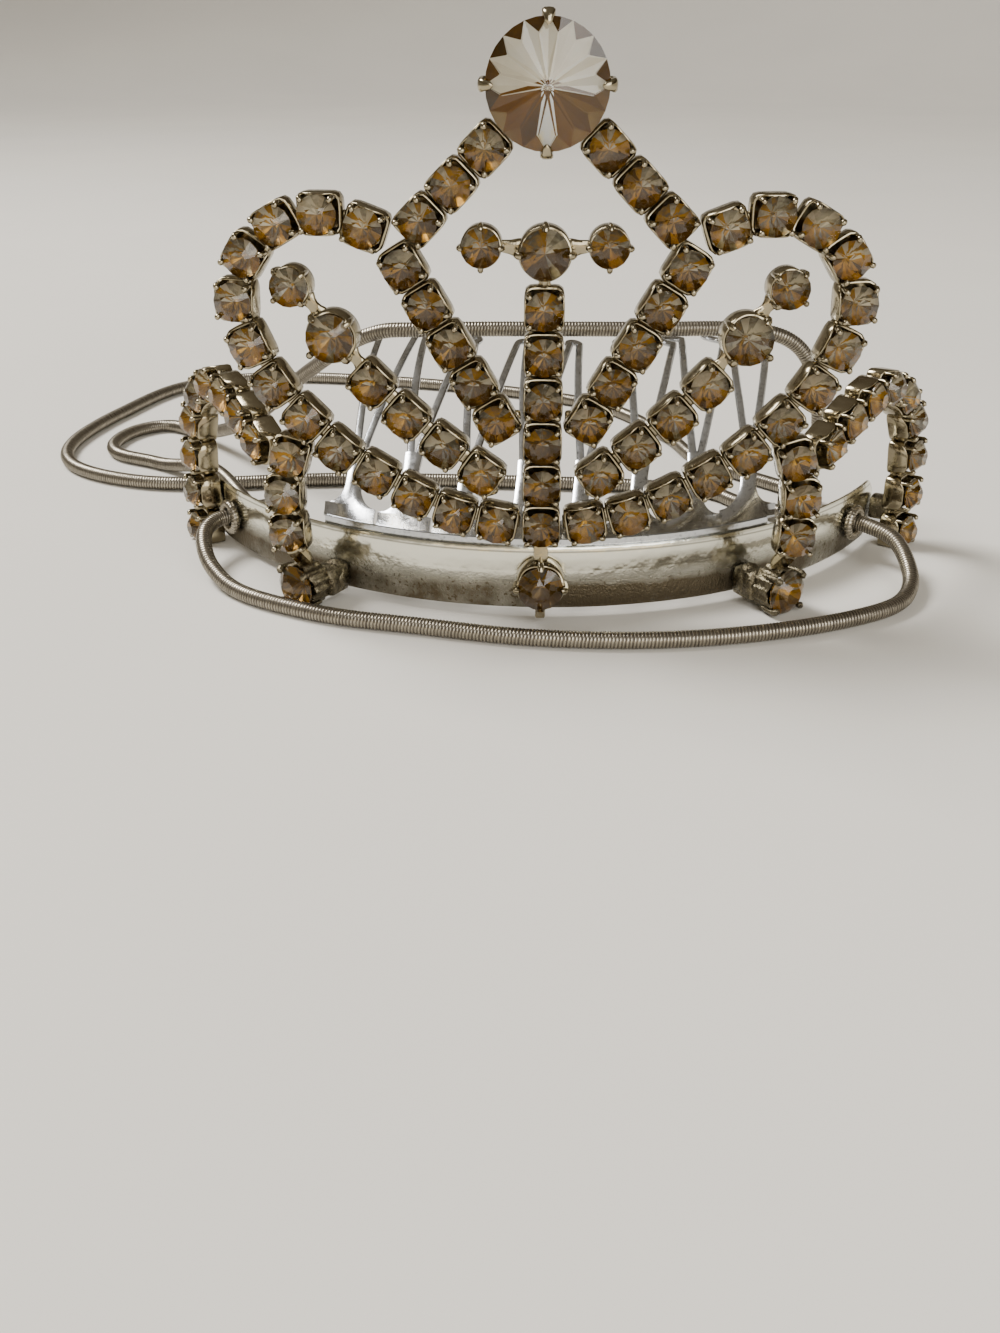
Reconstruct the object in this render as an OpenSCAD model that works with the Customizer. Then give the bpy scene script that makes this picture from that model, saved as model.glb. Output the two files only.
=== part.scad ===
// Mini tiara: a soldered band, comb and cup-chain hearts set with round stones, with an elastic cord.
// Millimetres, +Z up, the front faces -Y, the origin is under the middle of the metalwork on the floor.

/* [Band] */
// Radius of the band on its outer face
band_r = 46.3; // [45.5:0.1:47]
// Half of the angle that the band's arc takes up, in degrees
band_half = 63.5; // [62.5:0.5:64.5]
// Height of the strip
band_h = 7; // [6.8:0.1:7.2]
// Thickness of the strip
band_t = 0.6; // [0.5:0.05:0.8]
// Height of the strip's lower edge above the floor
band_lift = 1; // [0.8:0.1:1.2]
// Bore for the cord near each end
cord_hole_d = 2.6; // [2.4:0.1:2.8]
// Angle from the middle line to a bore, in degrees
cord_hole_turn = 53.5; // [53:0.25:54]

/* [Cup chain] */
// Outer width of a small cup
cup_w = 4; // [3.8:0.05:4.1]
// Depth of a small cup from its back to its rim
cup_d = 2.8; // [2.5:0.1:3]
// Bore of a small cup
cup_bore = 3.4; // [3.2:0.05:3.5]
// Outer width of a big cup
big_w = 5.2; // [5:0.1:5.4]
// Depth of a big cup
big_d = 3; // [2.8:0.1:3.2]
// Bore of a big cup
big_bore = 4.5; // [4.3:0.1:4.6]
// Diameter of a prong
prong_d = 0.7; // [0.6:0.05:0.8]
// Width of the link between two cups
link_w = 1.6; // [1.2:0.1:2]

/* [Heart panel] */
// Radius of the panel that the hearts are bent to
panel_r = 200; // [180:5:240]
// Lean of the panel towards the front, in degrees
panel_lean = 0.5; // [0:0.25:1]
// Stone plane of the panel in front of the band
panel_gap = 2; // [1.8:0.1:2.2]

/* [Main stone] */
// Diameter of the main stone
main_d = 11.4; // [11.2:0.1:11.6]
// Height of its middle along the panel
main_w = 54; // [53.8:0.1:54.2]

/* [Comb] */
// Distance between two stems
comb_pitch = 6.4; // [6.3:0.05:6.5]
// Width of a stem
stem_w = 1.8; // [1.6:0.1:2]
// Width of a prong of the comb
tooth_w = 0.9; // [0.8:0.05:1]
// Thickness of the sheet
comb_t = 0.7; // [0.6:0.05:0.8]
// How far the teeth reach back from their root
comb_reach = 30; // [29.5:0.1:30.5]
// How far the teeth rise from their root
comb_rise = 14.6; // [14.4:0.1:14.8]
// Turn of the teeth to the right, in degrees
comb_skew = 6.5; // [5.5:0.25:7]
// Distance of the comb's middle to the right of the band's
comb_shift = 0.7; // [0.4:0.1:1]

/* [Cord] */
// Diameter of the elastic cord
cord_d = 1.9; // [1.8:0.05:2]

/* [Hidden] */
$fn = 48;
LEFT = -1;
RIGHT = 1;
silver = "silver";
stone_colour = "tan";
gap = 0.1;
// A cup's floor, how round its corners are, how far out its prongs stand and how far they rise
cup_floor = 0.5;
corner = 1.26;
prong_out = 0.56;
prong_up = 0.35;
// A link's thickness, and how far it reaches into each cup
link_t = 0.7;
link_lap = 0.3;

// The middle line and the outer face of the band's front in this frame, and the middle of its arc
mid_x = -1.35;
front_y = -16.04;
arc_y = front_y + band_r;
hole_z = band_lift + band_h / 2;

// A seat is one cup's place: [middle of its rim, direction of the chain, outward direction, is it big]
function unit(v) = v / norm(v);
function tilt(v) = [v.x, v.y * cos(panel_lean) - v.z * sin(panel_lean),
                    v.y * sin(panel_lean) + v.z * cos(panel_lean)];
function panel_angle(u) = u / panel_r * 180 / PI;
function panel_point(u, w) =
    let(a = panel_angle(u))
    tilt([panel_r * sin(a), panel_r * (1 - cos(a)), w]) + [mid_x, front_y - panel_gap, 0];
function panel_seat(u, w, du, dw, big = false) =
    let(a = panel_angle(u), d = unit([du, dw]))
    [panel_point(u, w), tilt([cos(a) * d.x, sin(a) * d.x, d.y]), tilt([sin(a), -cos(a), 0]), big];
// A seat in the upright plane of an arch, at a distance s from its foot towards the front
function arch_foot(side) = side < 0 ? arch_feet[0] : arch_feet[1];
function arch_turn(side) = let(d = arch_foot(side) - arch_end) atan2(d.x, d.y);
function arch_seat(side, s, z, ds, dz) =
    let(d = unit([ds, dz]), turn = arch_turn(side), x = -side * sin(turn), y = -cos(turn))
    [[mid_x + side * arch_foot(side).x + x * s, front_y + arch_foot(side).y + y * s, z],
     [x * d.x, y * d.x, d.y], [side * cos(turn), -sin(turn), 0], false];

// A route is a short list of [across, up] points: cups sit at equal steps along a smooth curve through them
function spline(p0, p1, p2, p3, t) =
    (2 * p1 + (p2 - p0) * t + (2 * p0 - 5 * p1 + 4 * p2 - p3) * t * t
     + (3 * p1 - p0 - 3 * p2 + p3) * t * t * t) / 2;
function smooth(route, k) =
    let(n = len(route) - 1)
    [for (i = [0:n - 1]) for (j = [0:k - 1])
        spline(route[max(i - 1, 0)], route[i], route[i + 1], route[min(i + 2, n)], j / k), route[n]];
function running(points, i = 0, sum = 0) =
    i == len(points) - 1 ? [sum]
                         : concat([sum], running(points, i + 1, sum + norm(points[i + 1] - points[i])));
function along(points, sums, s) =
    [lookup(s, [for (i = [0:len(points) - 1]) [sums[i], points[i].x]]),
     lookup(s, [for (i = [0:len(points) - 1]) [sums[i], points[i].y]])];
function steps(route, count) =
    let(points = smooth(route, 12), sums = running(points), all = sums[len(sums) - 1])
    [for (i = [0:count - 1])
        let(s = all * i / (count - 1),
            p = along(points, sums, s),
            d = along(points, sums, min(s + 0.5, all)) - along(points, sums, max(s - 0.5, 0)))
        [p, d]];
function panel_run(side, route, count) =
    [for (s = steps(route, count)) panel_seat(side * s[0].x, s[0].y, side * s[1].x, s[1].y)];
function arch_run(side) =
    let(k = norm(arch_foot(side) - arch_end), route = [for (p = arch_route) [k * p.x, p.y]])
    [for (s = steps(route, 9)) arch_seat(side, s[0].x, s[0].y, s[1].x, s[1].y)];

// Routes on the panel: [distance from the middle line, height]
heart_route = [
    [4.7, 11.3], [9, 12.2], [13.2, 13.9], [17.4, 16.3], [21, 18.5], [24.5, 21.8], [27.3, 24.7],
    [29.8, 28.9], [31.2, 33.4], [29.9, 38.1], [26.1, 41.5], [21.6, 42.4], [17.6, 41.2]
];
arm_route = [[4.7, 22.3], [13.9, 37.5]];
peak_route = [[12.2, 41.9], [5.8, 48.4]];
ray_route = [[6, 16.7], [9.7, 19.5], [13.4, 22.6], [16.7, 25.9]];
ray_big = [20.4, 30.6];
ray_tip = [24.1, 35.5];
// How much wider the left ray stands than the right one
left_spread = 1.05;
cross_w = 39;
cross_arm = [6.2, 39.6];
column_low = 10.9;
column_high = 33.6;
front_cup_z = 4.6;
post_route = [[27.4, 9.3], [27.6, 14.1], [26.7, 17.8]];

// A post's foot in plan, [distance from the middle line, distance behind the band's front], and its turn
foot = [27, 1.4];
foot_turn = 35;
// The left and the right arch's foot and their front end, in plan as above
arch_feet = [[42.6, 21.5], [45.2, 22.2]];
arch_end = [31, 3.7];
// An arch's route: [part of the way from its foot to its front end, height]
arch_route = [
    [0, cup_w / 2 + 0.02], [0, 6.8], [0.01, 11.5], [0.07, 16.3], [0.22, 20], [0.41, 21.8], [0.62, 21.4],
    [0.82, 20], [1, 18.4]
];

// Sizes of a cup by kind, small or big
function width(big) = big ? big_w : cup_w;
function depth(big) = big ? big_d : cup_d;
function bore(big) = big ? big_bore : cup_bore;

module at(p, x, z) {
    y = cross(z, x);
    multmatrix([[x.x, y.x, z.x, p.x], [x.y, y.y, z.y, p.y], [x.z, y.z, z.z, p.z], [0, 0, 0, 1]])
        children();
}

// One cup, its rim at z = 0 and its back at z = -depth: a square box with rounded corners and a round bore
module cup(big) {
    w = width(big);
    d = depth(big);
    difference() {
        translate([0, 0, -d]) intersection() {
            translate([-w / 2, -w / 2, 0]) cube([w, w, d]);
            cylinder(d = w * corner, h = d);
        }
        translate([0, 0, -d + cup_floor]) cylinder(d = bore(big), h = d);
    }
    for (a = [45:90:315]) rotate([0, 0, a])
        translate([w * prong_out, 0, -d / 2]) cylinder(d = prong_d, h = d / 2 + prong_up, $fn = 16);
}

module seated_cup(seat) {
    at(seat[0], seat[1], seat[2]) cup(seat[3]);
}

// A flat link at the backs of the cups, from a to b, with outward direction n
module link(a, b, n) {
    x = unit(b - a);
    z = unit(n - (n * x) * x);
    at((a + b) / 2, x, z)
        translate([-norm(b - a) / 2, -link_w / 2, gap / 2 - cup_d]) cube([norm(b - a), link_w, link_t]);
}

module run(seats) {
    for (s = seats) seated_cup(s);
    for (i = [0:len(seats) - 2]) {
        a = seats[i];
        b = seats[i + 1];
        d = unit(b[0] - a[0]);
        link(a[0] + d * (width(a[3]) / 2 - link_lap), b[0] - d * (width(b[3]) / 2 - link_lap),
             a[2] + b[2]);
    }
}

module band() {
    // The ends of the strip are rounded in side view
    end_d = band_h + 0.8;
    end_turn = band_half - end_d / 2 / band_r * 180 / PI;
    color(silver) translate([mid_x, arc_y, 0]) difference() {
        translate([0, 0, band_lift]) rotate([0, 0, 270 - band_half])
            rotate_extrude(angle = 2 * band_half, $fn = 180)
                translate([band_r - band_t, 0]) square([band_t, band_h]);
        for (side = [LEFT, RIGHT]) {
            outward(side * end_turn) difference() {
                translate([side < 0 ? -end_d : 0, -end_d, 0]) cube([end_d, 2 * end_d, 2 * band_r]);
                translate([0, 0, -1]) cylinder(d = end_d, h = 2 * band_r + 2);
            }
            outward(side * cord_hole_turn) cylinder(d = cord_hole_d, h = 2 * band_r);
        }
    }
}

// Lays +Z outwards from the band's middle, at an angle from the front, at the height of the cord's bores
module outward(turn) {
    translate([0, 0, hole_z]) rotate([90, 0, turn]) children();
}

// The comb's teeth follow an arc in side view, from root to tip
root_z = band_lift + band_h + 0.4;
chord = norm([comb_reach, comb_rise]);
comb_slope = atan2(comb_rise, comb_reach);
comb_sag = 2.5;
comb_r = chord * chord / (8 * comb_sag) + comb_sag / 2;
half_turn = asin(chord / 2 / comb_r);
arc_c = [comb_reach, comb_rise] / 2 + [sin(comb_slope), -cos(comb_slope)] * (comb_r - comb_sag);
split = 0.3;
plate_r = band_r - band_t - gap;
stems = [for (k = [-3.5:1:3.5]) k * comb_pitch + comb_shift];
function root_y(x) = arc_y - sqrt(pow(plate_r - comb_t, 2) - x * x);
function split_reach() = arc_c.x + comb_r * cos(90 + comb_slope + half_turn * (1 - 2 * split));

// A strip of the teeth's arc between two fractions of its length, from its root at the origin
module strip(w, from, to, thick = comb_t) {
    a = 90 + comb_slope + half_turn * (1 - 2 * from);
    b = 90 + comb_slope + half_turn * (1 - 2 * to);
    far = 2 * comb_r;
    rotate([90, 0, 90]) translate([arc_c.x, arc_c.y, -w / 2]) linear_extrude(w) intersection() {
        difference() {
            circle(comb_r + thick / 2, $fn = 180);
            circle(comb_r - thick / 2, $fn = 180);
        }
        polygon([[0, 0], far * [cos(a), sin(a)], far * [cos(b), sin(b)]]);
    }
}

// Where a loop's tip has its root: between those of the two stems that it joins
function tip_root(x) = (root_y(x - comb_pitch / 2) + root_y(x + comb_pitch / 2)) / 2;

// Places a tooth at its root, turned as all of them are
module tooth(x, y) {
    translate([mid_x + x, y, root_z]) rotate([0, 0, -comb_skew]) children();
}

module comb() {
    u_d = comb_pitch - stem_w;
    u_y = 3.6;
    plate_low = 3;
    lean = asin((comb_pitch / 2 - stem_w / 2 + tooth_w * 0.05) / (comb_reach - split_reach()));
    length = 2 * half_turn * comb_r * PI / 180;
    plate_turn = asin((3.5 * comb_pitch + 2.6) / plate_r);
    color(silver) {
        translate([mid_x, arc_y, band_lift + plate_low])
            rotate([0, 0, 270 - plate_turn + asin(comb_shift / plate_r)])
            rotate_extrude(angle = 2 * plate_turn, $fn = 180)
                translate([plate_r - comb_t, 0]) square([comb_t, root_z + 0.3 - band_lift - plate_low]);
        for (x = stems) tooth(x, root_y(x)) difference() {
            strip(comb_pitch, 0, split);
            for (side = [LEFT, RIGHT]) {
                translate([side * comb_pitch / 2, u_y, -1]) cylinder(d = u_d, h = 20);
                translate([side * comb_pitch / 2 - u_d / 2, u_y, -1]) cube([u_d, 20, 20]);
            }
        }
        // Each stem parts into two prongs, which meet their neighbours' at rounded tips
        for (i = [0:len(stems) - 1]) for (side = [LEFT, RIGHT]) {
            x = stems[i];
            outer = (i == 0 && side == LEFT) || (i == len(stems) - 1 && side == RIGHT);
            to = outer ? 1 : 1 + (tip_root(x + side * comb_pitch / 2) - root_y(x)) / length;
            tooth(x, root_y(x)) translate([side * (stem_w - tooth_w) / 2, split_reach(), 0])
                rotate([0, 0, -side * lean]) translate([0, -split_reach(), 0])
                    strip(tooth_w, split - 0.05, to, comb_t * 0.8);
        }
        for (i = [0:len(stems) - 2]) {
            x = stems[i] + comb_pitch / 2;
            tooth(x, tip_root(x)) strip(1.6, 0.965, 1.01, comb_t * 1.2);
        }
    }
}

// The ring that holds the main stone, with a flat back and four claws
ring_r = main_d / 2 - 0.5;
module main_setting() {
    seat = panel_seat(0, main_w, 1, 0);
    color(silver) at(seat[0], seat[1], seat[2]) {
        translate([0, 0, -cup_d]) difference() {
            cylinder(r = ring_r, h = cup_d - 0.2);
            translate([0, 0, 0.6]) cylinder(r = ring_r - 0.5, h = cup_d);
        }
        for (a = [0:90:270]) rotate([0, 0, a]) {
            translate([ring_r - 0.3, -0.7, -cup_d]) cube([1, 1.4, 0.7]);
            translate([main_d / 2 + 0.15, -0.7, -cup_d]) cube([0.6, 1.4, cup_d + 1.35]);
            translate([main_d / 2 - 0.9, -0.5, 0.95]) cube([1.3, 1, 0.4]);
        }
    }
}

// A round stone: a pointed front, a narrow girdle and a pointed back
module stone(d, front, back, girdle = 0.3) {
    color(stone_colour) rotate_extrude($fn = 64)
        polygon([[0, girdle + front], [d / 2, girdle], [d / 2, 0], [0, -back]]);
}

module main_stone() {
    seat = panel_seat(0, main_w, 1, 0);
    at(seat[0] + 0.25 * seat[2], seat[1], seat[2]) stone(main_d, 2.2, 2.2);
}

module big_stone(seat) {
    at(seat[0] - 0.45 * seat[2], seat[1], seat[2]) stone(big_bore - 0.1, 0.9, 1.8, 0.4);
}

function spread(side) = side < 0 ? left_spread : 1;
function ray_big_seat(side) =
    let(x = side * spread(side), d = ray_tip - ray_route[3])
    panel_seat(x * ray_big.x, ray_big.y, x * d.x, d.y, true);
function cross_seat() = panel_seat(0, cross_w, 0, 1, true);
function front_seat() = [[mid_x, front_y - big_d - gap, front_cup_z], [0, 0, 1], [0, -1, 0], true];
function foot_seat(side) =
    let(n = [side * sin(foot_turn), -cos(foot_turn), 0])
    [[mid_x + side * foot.x, front_y + foot.y, big_w / 2], [0, 0, 1], n, true];

module peak(side) {
    seats = panel_run(side, peak_route, 3);
    top = seats[2];
    middle = panel_point(0, main_w);
    color(silver) {
        run(seats);
        link(top[0], middle + unit(top[0] - middle) * (ring_r + gap), top[2]);
    }
}

module arm(side) {
    seats = panel_run(side, arm_route, 5);
    color(silver) {
        run(seats);
        link(panel_point(side * (cup_w / 2 + 3 * gap), arm_route[0].y), seats[0][0], seats[0][2]);
    }
}

module heart(side) {
    seats = panel_run(side, heart_route, 13);
    color(silver) {
        run(seats);
        link(panel_point(side * (cup_w / 2 + 3 * gap), column_low + 0.1), seats[0][0], seats[0][2]);
    }
}

module ray(side) {
    x = side * spread(side);
    small = panel_run(x, ray_route, 4);
    tip = panel_seat(x * ray_tip.x, ray_tip.y, side, 1.2);
    color(silver) {
        run(concat(small, [ray_big_seat(side), tip]));
        link(panel_point(side * 5.3, 13.9), small[0][0], small[0][2]);
    }
}

module column() {
    count = 6;
    stack = [for (i = [0:count - 1])
        panel_seat(0, column_low + (column_high - column_low) * i / (count - 1), 0, 1)];
    color(silver) {
        seated_cup(front_seat());
        riser(front_seat(), stack[0]);
        run(concat(stack, [cross_seat()]));
        for (side = [LEFT, RIGHT]) {
            arm_seat = panel_seat(side * cross_arm.x, cross_arm.y, 1, 0);
            seated_cup(arm_seat);
            link(panel_point(side * (big_w / 2 - link_lap), cross_w + 0.2), arm_seat[0], arm_seat[2]);
        }
    }
}

module post(side) {
    base = foot_seat(side);
    seats = panel_run(side, post_route, 3);
    solder = base[0] - base[2] * (big_d - 0.4) + side * 1.3 * cross(base[2], [0, 0, 1]);
    middle = [mid_x, arc_y, solder.z];
    color(silver) {
        seated_cup(base);
        run(seats);
        riser(base, seats[0]);
        // The solder that fastens the foot to the band
        bar(solder, middle + unit(solder - middle) * (band_r + gap), 3, 3.4);
    }
}

module arch(side) {
    seats = arch_run(side);
    top = panel_run(side, post_route, 3)[2];
    joint = top[0] - top[2] * (cup_d + 3 * gap) + [side * 1.2, 0, 0];
    back = seats[0][0] - seats[0][2] * (cup_d - 0.4) + [0, 0, hole_z - cup_w / 2];
    middle = [mid_x, arc_y, back.z];
    color(silver) {
        run(seats);
        // The solder joint between the arch's front cup and the back of the post
        bar(joint, joint - top[2] * 2.4, 1.6, 2.4);
        // The solder that fills the space between the arch's foot and the band
        if (norm(back - middle) > band_r + 1)
            bar(back, middle + unit(back - middle) * (band_r + gap), 2.4, 3);
    }
}

// A bar from a to b, w across and h high
module bar(a, b, w, h) {
    x = unit(b - a);
    at((a + b) / 2, x, unit([0, 0, 1] - x * x.z))
        translate([-norm(b - a) / 2, -w / 2, -h / 2]) cube([norm(b - a), w, h]);
}

// The wire that carries a small cup above a big one
module riser(low, high) {
    bar(low[0] - low[2] * 2 + [0, 0, big_w / 2 - 0.15],
        high[0] - high[2] * 1.4 - [0, 0, cup_w / 2 - 0.3], link_w, link_w);
}

// A tube of eight sides swept through rings, closed at both ends
module tube(route, k, d) {
    sides = 8;
    path = smooth(route, k);
    n = len(path);
    rings = [for (i = [0:n - 1])
        let(last = len(route) - 1,
            t = i == 0 ? unit(route[1] - route[0]) :
                i == n - 1 ? unit(route[last] - route[last - 1]) : unit(path[i + 1] - path[i - 1]),
            x = unit(cross([0, 0, 1], t)),
            y = cross(t, x))
        for (j = [0:sides - 1])
            path[i] + d / 2 * (cos(j * 360 / sides) * x + sin(j * 360 / sides) * y)];
    faces = concat(
        [[for (j = [0:sides - 1]) j]],
        [for (i = [0:n - 2]) for (j = [0:sides - 1])
            let(a = i * sides, m = (j + 1) % sides) [a + j, a + sides + j, a + sides + m, a + m]],
        [[for (j = [sides - 1:-1:0]) (n - 1) * sides + j]]);
    polyhedron(rings, faces, convexity = 6);
}

// A point on a bore's axis, at a distance r from the middle of the band's arc
function bore_point(side, r) =
    [side * r * sin(cord_hole_turn), band_r - r * cos(cord_hole_turn), hole_z];

// The cord's front run, from the left bore round the front of the band to the right bore:
// [across, distance behind the band's front, up]
front_route = [
    bore_point(LEFT, band_r - 0.25), bore_point(LEFT, band_r + 2.2),
    [-39.9, 14.6, 4.1], [-39.4, 11.4, 3.1], [-37.9, 8.4, 1.9], [-35, 4.8, 1.05], [-30.6, 1.3, 0.97],
    [-22.5, -2.6, 0.97], [-12.8, -5, 0.97], [-2, -7.4, 0.97], [8, -8, 0.97], [17, -7.2, 0.97],
    [26, -5, 0.97], [33.8, -1.8, 0.97], [39.4, 2, 1], [42, 6.6, 1.5], [42.3, 11, 2.9],
    [41.4, 14.4, 4.1], bore_point(RIGHT, band_r + 2.2), bore_point(RIGHT, band_r - 0.25)
];
// The cord's rear run, from the right bore round behind, over the comb and back to the left bore
rear_route = [
    bore_point(RIGHT, band_r - 0.35), bore_point(RIGHT, band_r - 2.6),
    [33.2, 23.4, 3.9], [31.2, 28.6, 2], [26.5, 35.2, 0.97], [17, 41.2, 0.97], [-24, 43.5, 0.97],
    [-47.5, 41, 0.97], [-59, 43, 0.97], [-67.4, 49.5, 0.97], [-70.2, 60, 0.97], [-67.3, 76, 0.97],
    [-60.5, 92.5, 0.97], [-44, 99, 0.97], [-14, 93.5, 0.97], [9, 82.5, 0.97], [19, 66, 0.97],
    [23.5, 53, 0.97], [34.9, 39.8, 1.1], [35.9, 36.6, 4.4], [35.8, 34.9, 11],
    [34.4, 33.6, 18], [31.2, 32.5, 22.7], [25, 31.4, 24.6], [12, 30.4, 24.8], [-13, 30, 24.7],
    [-21.5, 31.6, 23.6], [-30, 37, 17.8], [-40.5, 48.5, 8], [-50.5, 62.5, 1.8], [-57.5, 68.6, 0.97],
    [-62.2, 66, 0.97], [-63.9, 59.5, 0.97], [-61.6, 54, 0.97], [-54, 49.4, 1], [-44.8, 41.3, 2.95],
    [-38, 31, 1.7], [-34.6, 24.6, 3.6], bore_point(LEFT, band_r - 2.6), bore_point(LEFT, band_r - 0.35)
];

module cord_front() {
    color("gray") translate([mid_x, front_y, 0]) tube(front_route, 2, cord_d);
}

module cord_rear() {
    color("gray") translate([mid_x, front_y, 0]) tube(rear_route, 1, cord_d);
}

// The knot that stops the cord outside each bore: one tight turn of the cord round itself
module knot(side) {
    turn_d = 1.1;
    color("gray") translate([mid_x, arc_y, 0]) outward(side * cord_hole_turn)
        translate([0, 0, band_r + gap + turn_d / 2]) rotate_extrude($fn = 32)
            translate([cord_d / 2 + gap + turn_d / 2, 0]) circle(d = turn_d, $fn = 24);
}

band();
comb();
main_setting();
main_stone();
peak(LEFT);  // peak_left
peak(RIGHT);  // peak_right
arm(LEFT);  // arm_left
arm(RIGHT);  // arm_right
heart(LEFT);  // heart_left
heart(RIGHT);  // heart_right
ray(LEFT);  // ray_left
ray(RIGHT);  // ray_right
column();
post(LEFT);  // post_left
post(RIGHT);  // post_right
arch(LEFT);  // arch_left
arch(RIGHT);  // arch_right
big_stone(cross_seat());  // cross_stone
big_stone(ray_big_seat(LEFT));  // ray_stone_left
big_stone(ray_big_seat(RIGHT));  // ray_stone_right
big_stone(front_seat());  // front_stone
big_stone(foot_seat(LEFT));  // post_stone_left
big_stone(foot_seat(RIGHT));  // post_stone_right
cord_front();
cord_rear();
knot(LEFT);  // knot_left
knot(RIGHT);  // knot_right
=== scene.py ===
"""A mini tiara: a band, a comb, cup-chain hearts with round glass stones, and an elastic cord.

Every piece is a surface worked out with numpy in the frame of the CAD model. Route tables are in
millimetres and are turned into metres once, when they are read.
"""
import math

import bpy
import numpy as np
from mathutils import Matrix


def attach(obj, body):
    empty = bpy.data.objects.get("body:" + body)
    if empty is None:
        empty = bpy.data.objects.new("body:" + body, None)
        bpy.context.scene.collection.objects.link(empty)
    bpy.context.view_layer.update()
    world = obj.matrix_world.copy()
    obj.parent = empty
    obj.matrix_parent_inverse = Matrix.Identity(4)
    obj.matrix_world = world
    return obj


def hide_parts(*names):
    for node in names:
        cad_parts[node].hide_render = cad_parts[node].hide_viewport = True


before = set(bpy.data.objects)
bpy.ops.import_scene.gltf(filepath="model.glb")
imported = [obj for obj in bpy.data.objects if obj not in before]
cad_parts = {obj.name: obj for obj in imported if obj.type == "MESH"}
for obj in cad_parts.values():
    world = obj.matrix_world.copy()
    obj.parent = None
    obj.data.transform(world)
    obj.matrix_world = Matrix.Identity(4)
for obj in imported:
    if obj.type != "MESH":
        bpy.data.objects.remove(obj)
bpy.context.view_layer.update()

bl_info = {
    "name": "Mini Tiara",
    "version": (1, 0, 0),
    "blender": (4, 5, 0),
    "location": "3D View > Sidebar > Tiara",
    "description": "Builds a mini tiara of cup chain with a comb and an elastic cord",
    "category": "Add Mesh",
}

MM = 0.001
LEFT, RIGHT = -1, 1
SIDES = {"left": LEFT, "right": RIGHT}
UP = np.array([0.0, 0.0, 1.0])

# The clearance where two runs face each other
CLEARANCE = 0.1 * MM
# A link's thickness, how far it reaches under a cup, and how far its middle is from the cup's back
LINK_THICKNESS = 0.7 * MM
LINK_LAP = 0.3 * MM
LINK_INSET = 0.4 * MM
# How far the peak's last links reach inside the main stone's edge
SETTING_LAP = 0.4 * MM
# The waist of a link beside a turned cup
WAIST = 0.45
# How far in front of the column's cups, in millimetres, the hearts' and arms' first links start
LINK_START = 0.3

# Places in a piece's list of finishes
CUP, SOLDER = 0, 1
GLASS, FOIL = 0, 1

# How the stones are cut, and how far their girdles stand in front of the cups' rims
SMALL_CUT = {"crown": 0.95 * MM, "back": 1.15 * MM, "girdle": 0.16 * MM}
BIG_CUT = {"crown": 1.1 * MM, "back": 1.4 * MM, "girdle": 0.2 * MM}
TABLE = 0.42
STONE_LIFT = 0.02 * MM
# Painted shade added to the tints of some stones' foils, which makes those stones darker than the
# rest
ARM_PAINTED_SHADE, COLUMN_PAINTED_SHADE, FRONT_PAINTED_SHADE = -0.18, -0.25, -0.3
FOOT_PAINTED_SHADE = {LEFT: -0.3, RIGHT: -0.05}

# The camera fitted to the photograph: its place in millimetres, its turn in degrees and its lens
CAMERA_PLACE = [-2.20, -151.35, 61.24]
CAMERA_TURN = [63.5, 0, 1.5]
CAMERA_LENS = 36.35

# The middle line and the outer face of the band's front in the CAD frame
MID_X = -1.35 * MM
FRONT_Y = -16.04 * MM

# Routes of cups on the heart panel: [distance from the middle line, height]
HEART_ROUTE = [
    [4.7, 11.3], [9, 12.2], [13.2, 13.9], [17.4, 16.3], [21, 18.5], [24.5, 21.8], [27.3, 24.7],
    [29.8, 28.9], [31.2, 33.4], [29.9, 38.1], [26.1, 41.5], [21.6, 42.4], [17.6, 41.2],
]
ARM_ROUTE = [[4.7, 22.3], [13.9, 37.5]]
PEAK_ROUTE = [[12.2, 41.9], [5.8, 48.4]]
RAY_ROOT = [5.3, 13.9]
RAY_ROUTE = [[6, 16.7], [9.7, 19.5], [13.4, 22.6], [16.7, 25.9]]
RAY_BIG = [20.4, 30.6]
RAY_TIP = [24.1, 35.5]
POST_ROUTE = [[27.4, 9.3], [27.6, 14.1], [26.7, 17.8]]
LEFT_SPREAD = 1.05
CROSS_HEIGHT = 39
CROSS_ARM = [6.2, 39.6]
COLUMN_LOW, COLUMN_HIGH, COLUMN_CUPS = 10.9, 33.6, 6
FRONT_CUP_HEIGHT = 4.6

# Feet in plan: [distance from the middle line, distance behind the band's front]
POST_FOOT = [27, 1.4]
POST_FOOT_TURN = math.radians(35)
ARCH_FEET = {LEFT: [42.6, 21.5], RIGHT: [45.2, 22.2]}
ARCH_END = [31, 3.7]
# An arch's route: [part of the way from its foot to its front end, height]
ARCH_ROUTE = [
    [0, 2.02], [0, 6.8], [0.01, 11.5], [0.07, 16.3], [0.22, 20], [0.41, 21.8], [0.62, 21.4],
    [0.82, 20], [1, 18.4],
]

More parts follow.
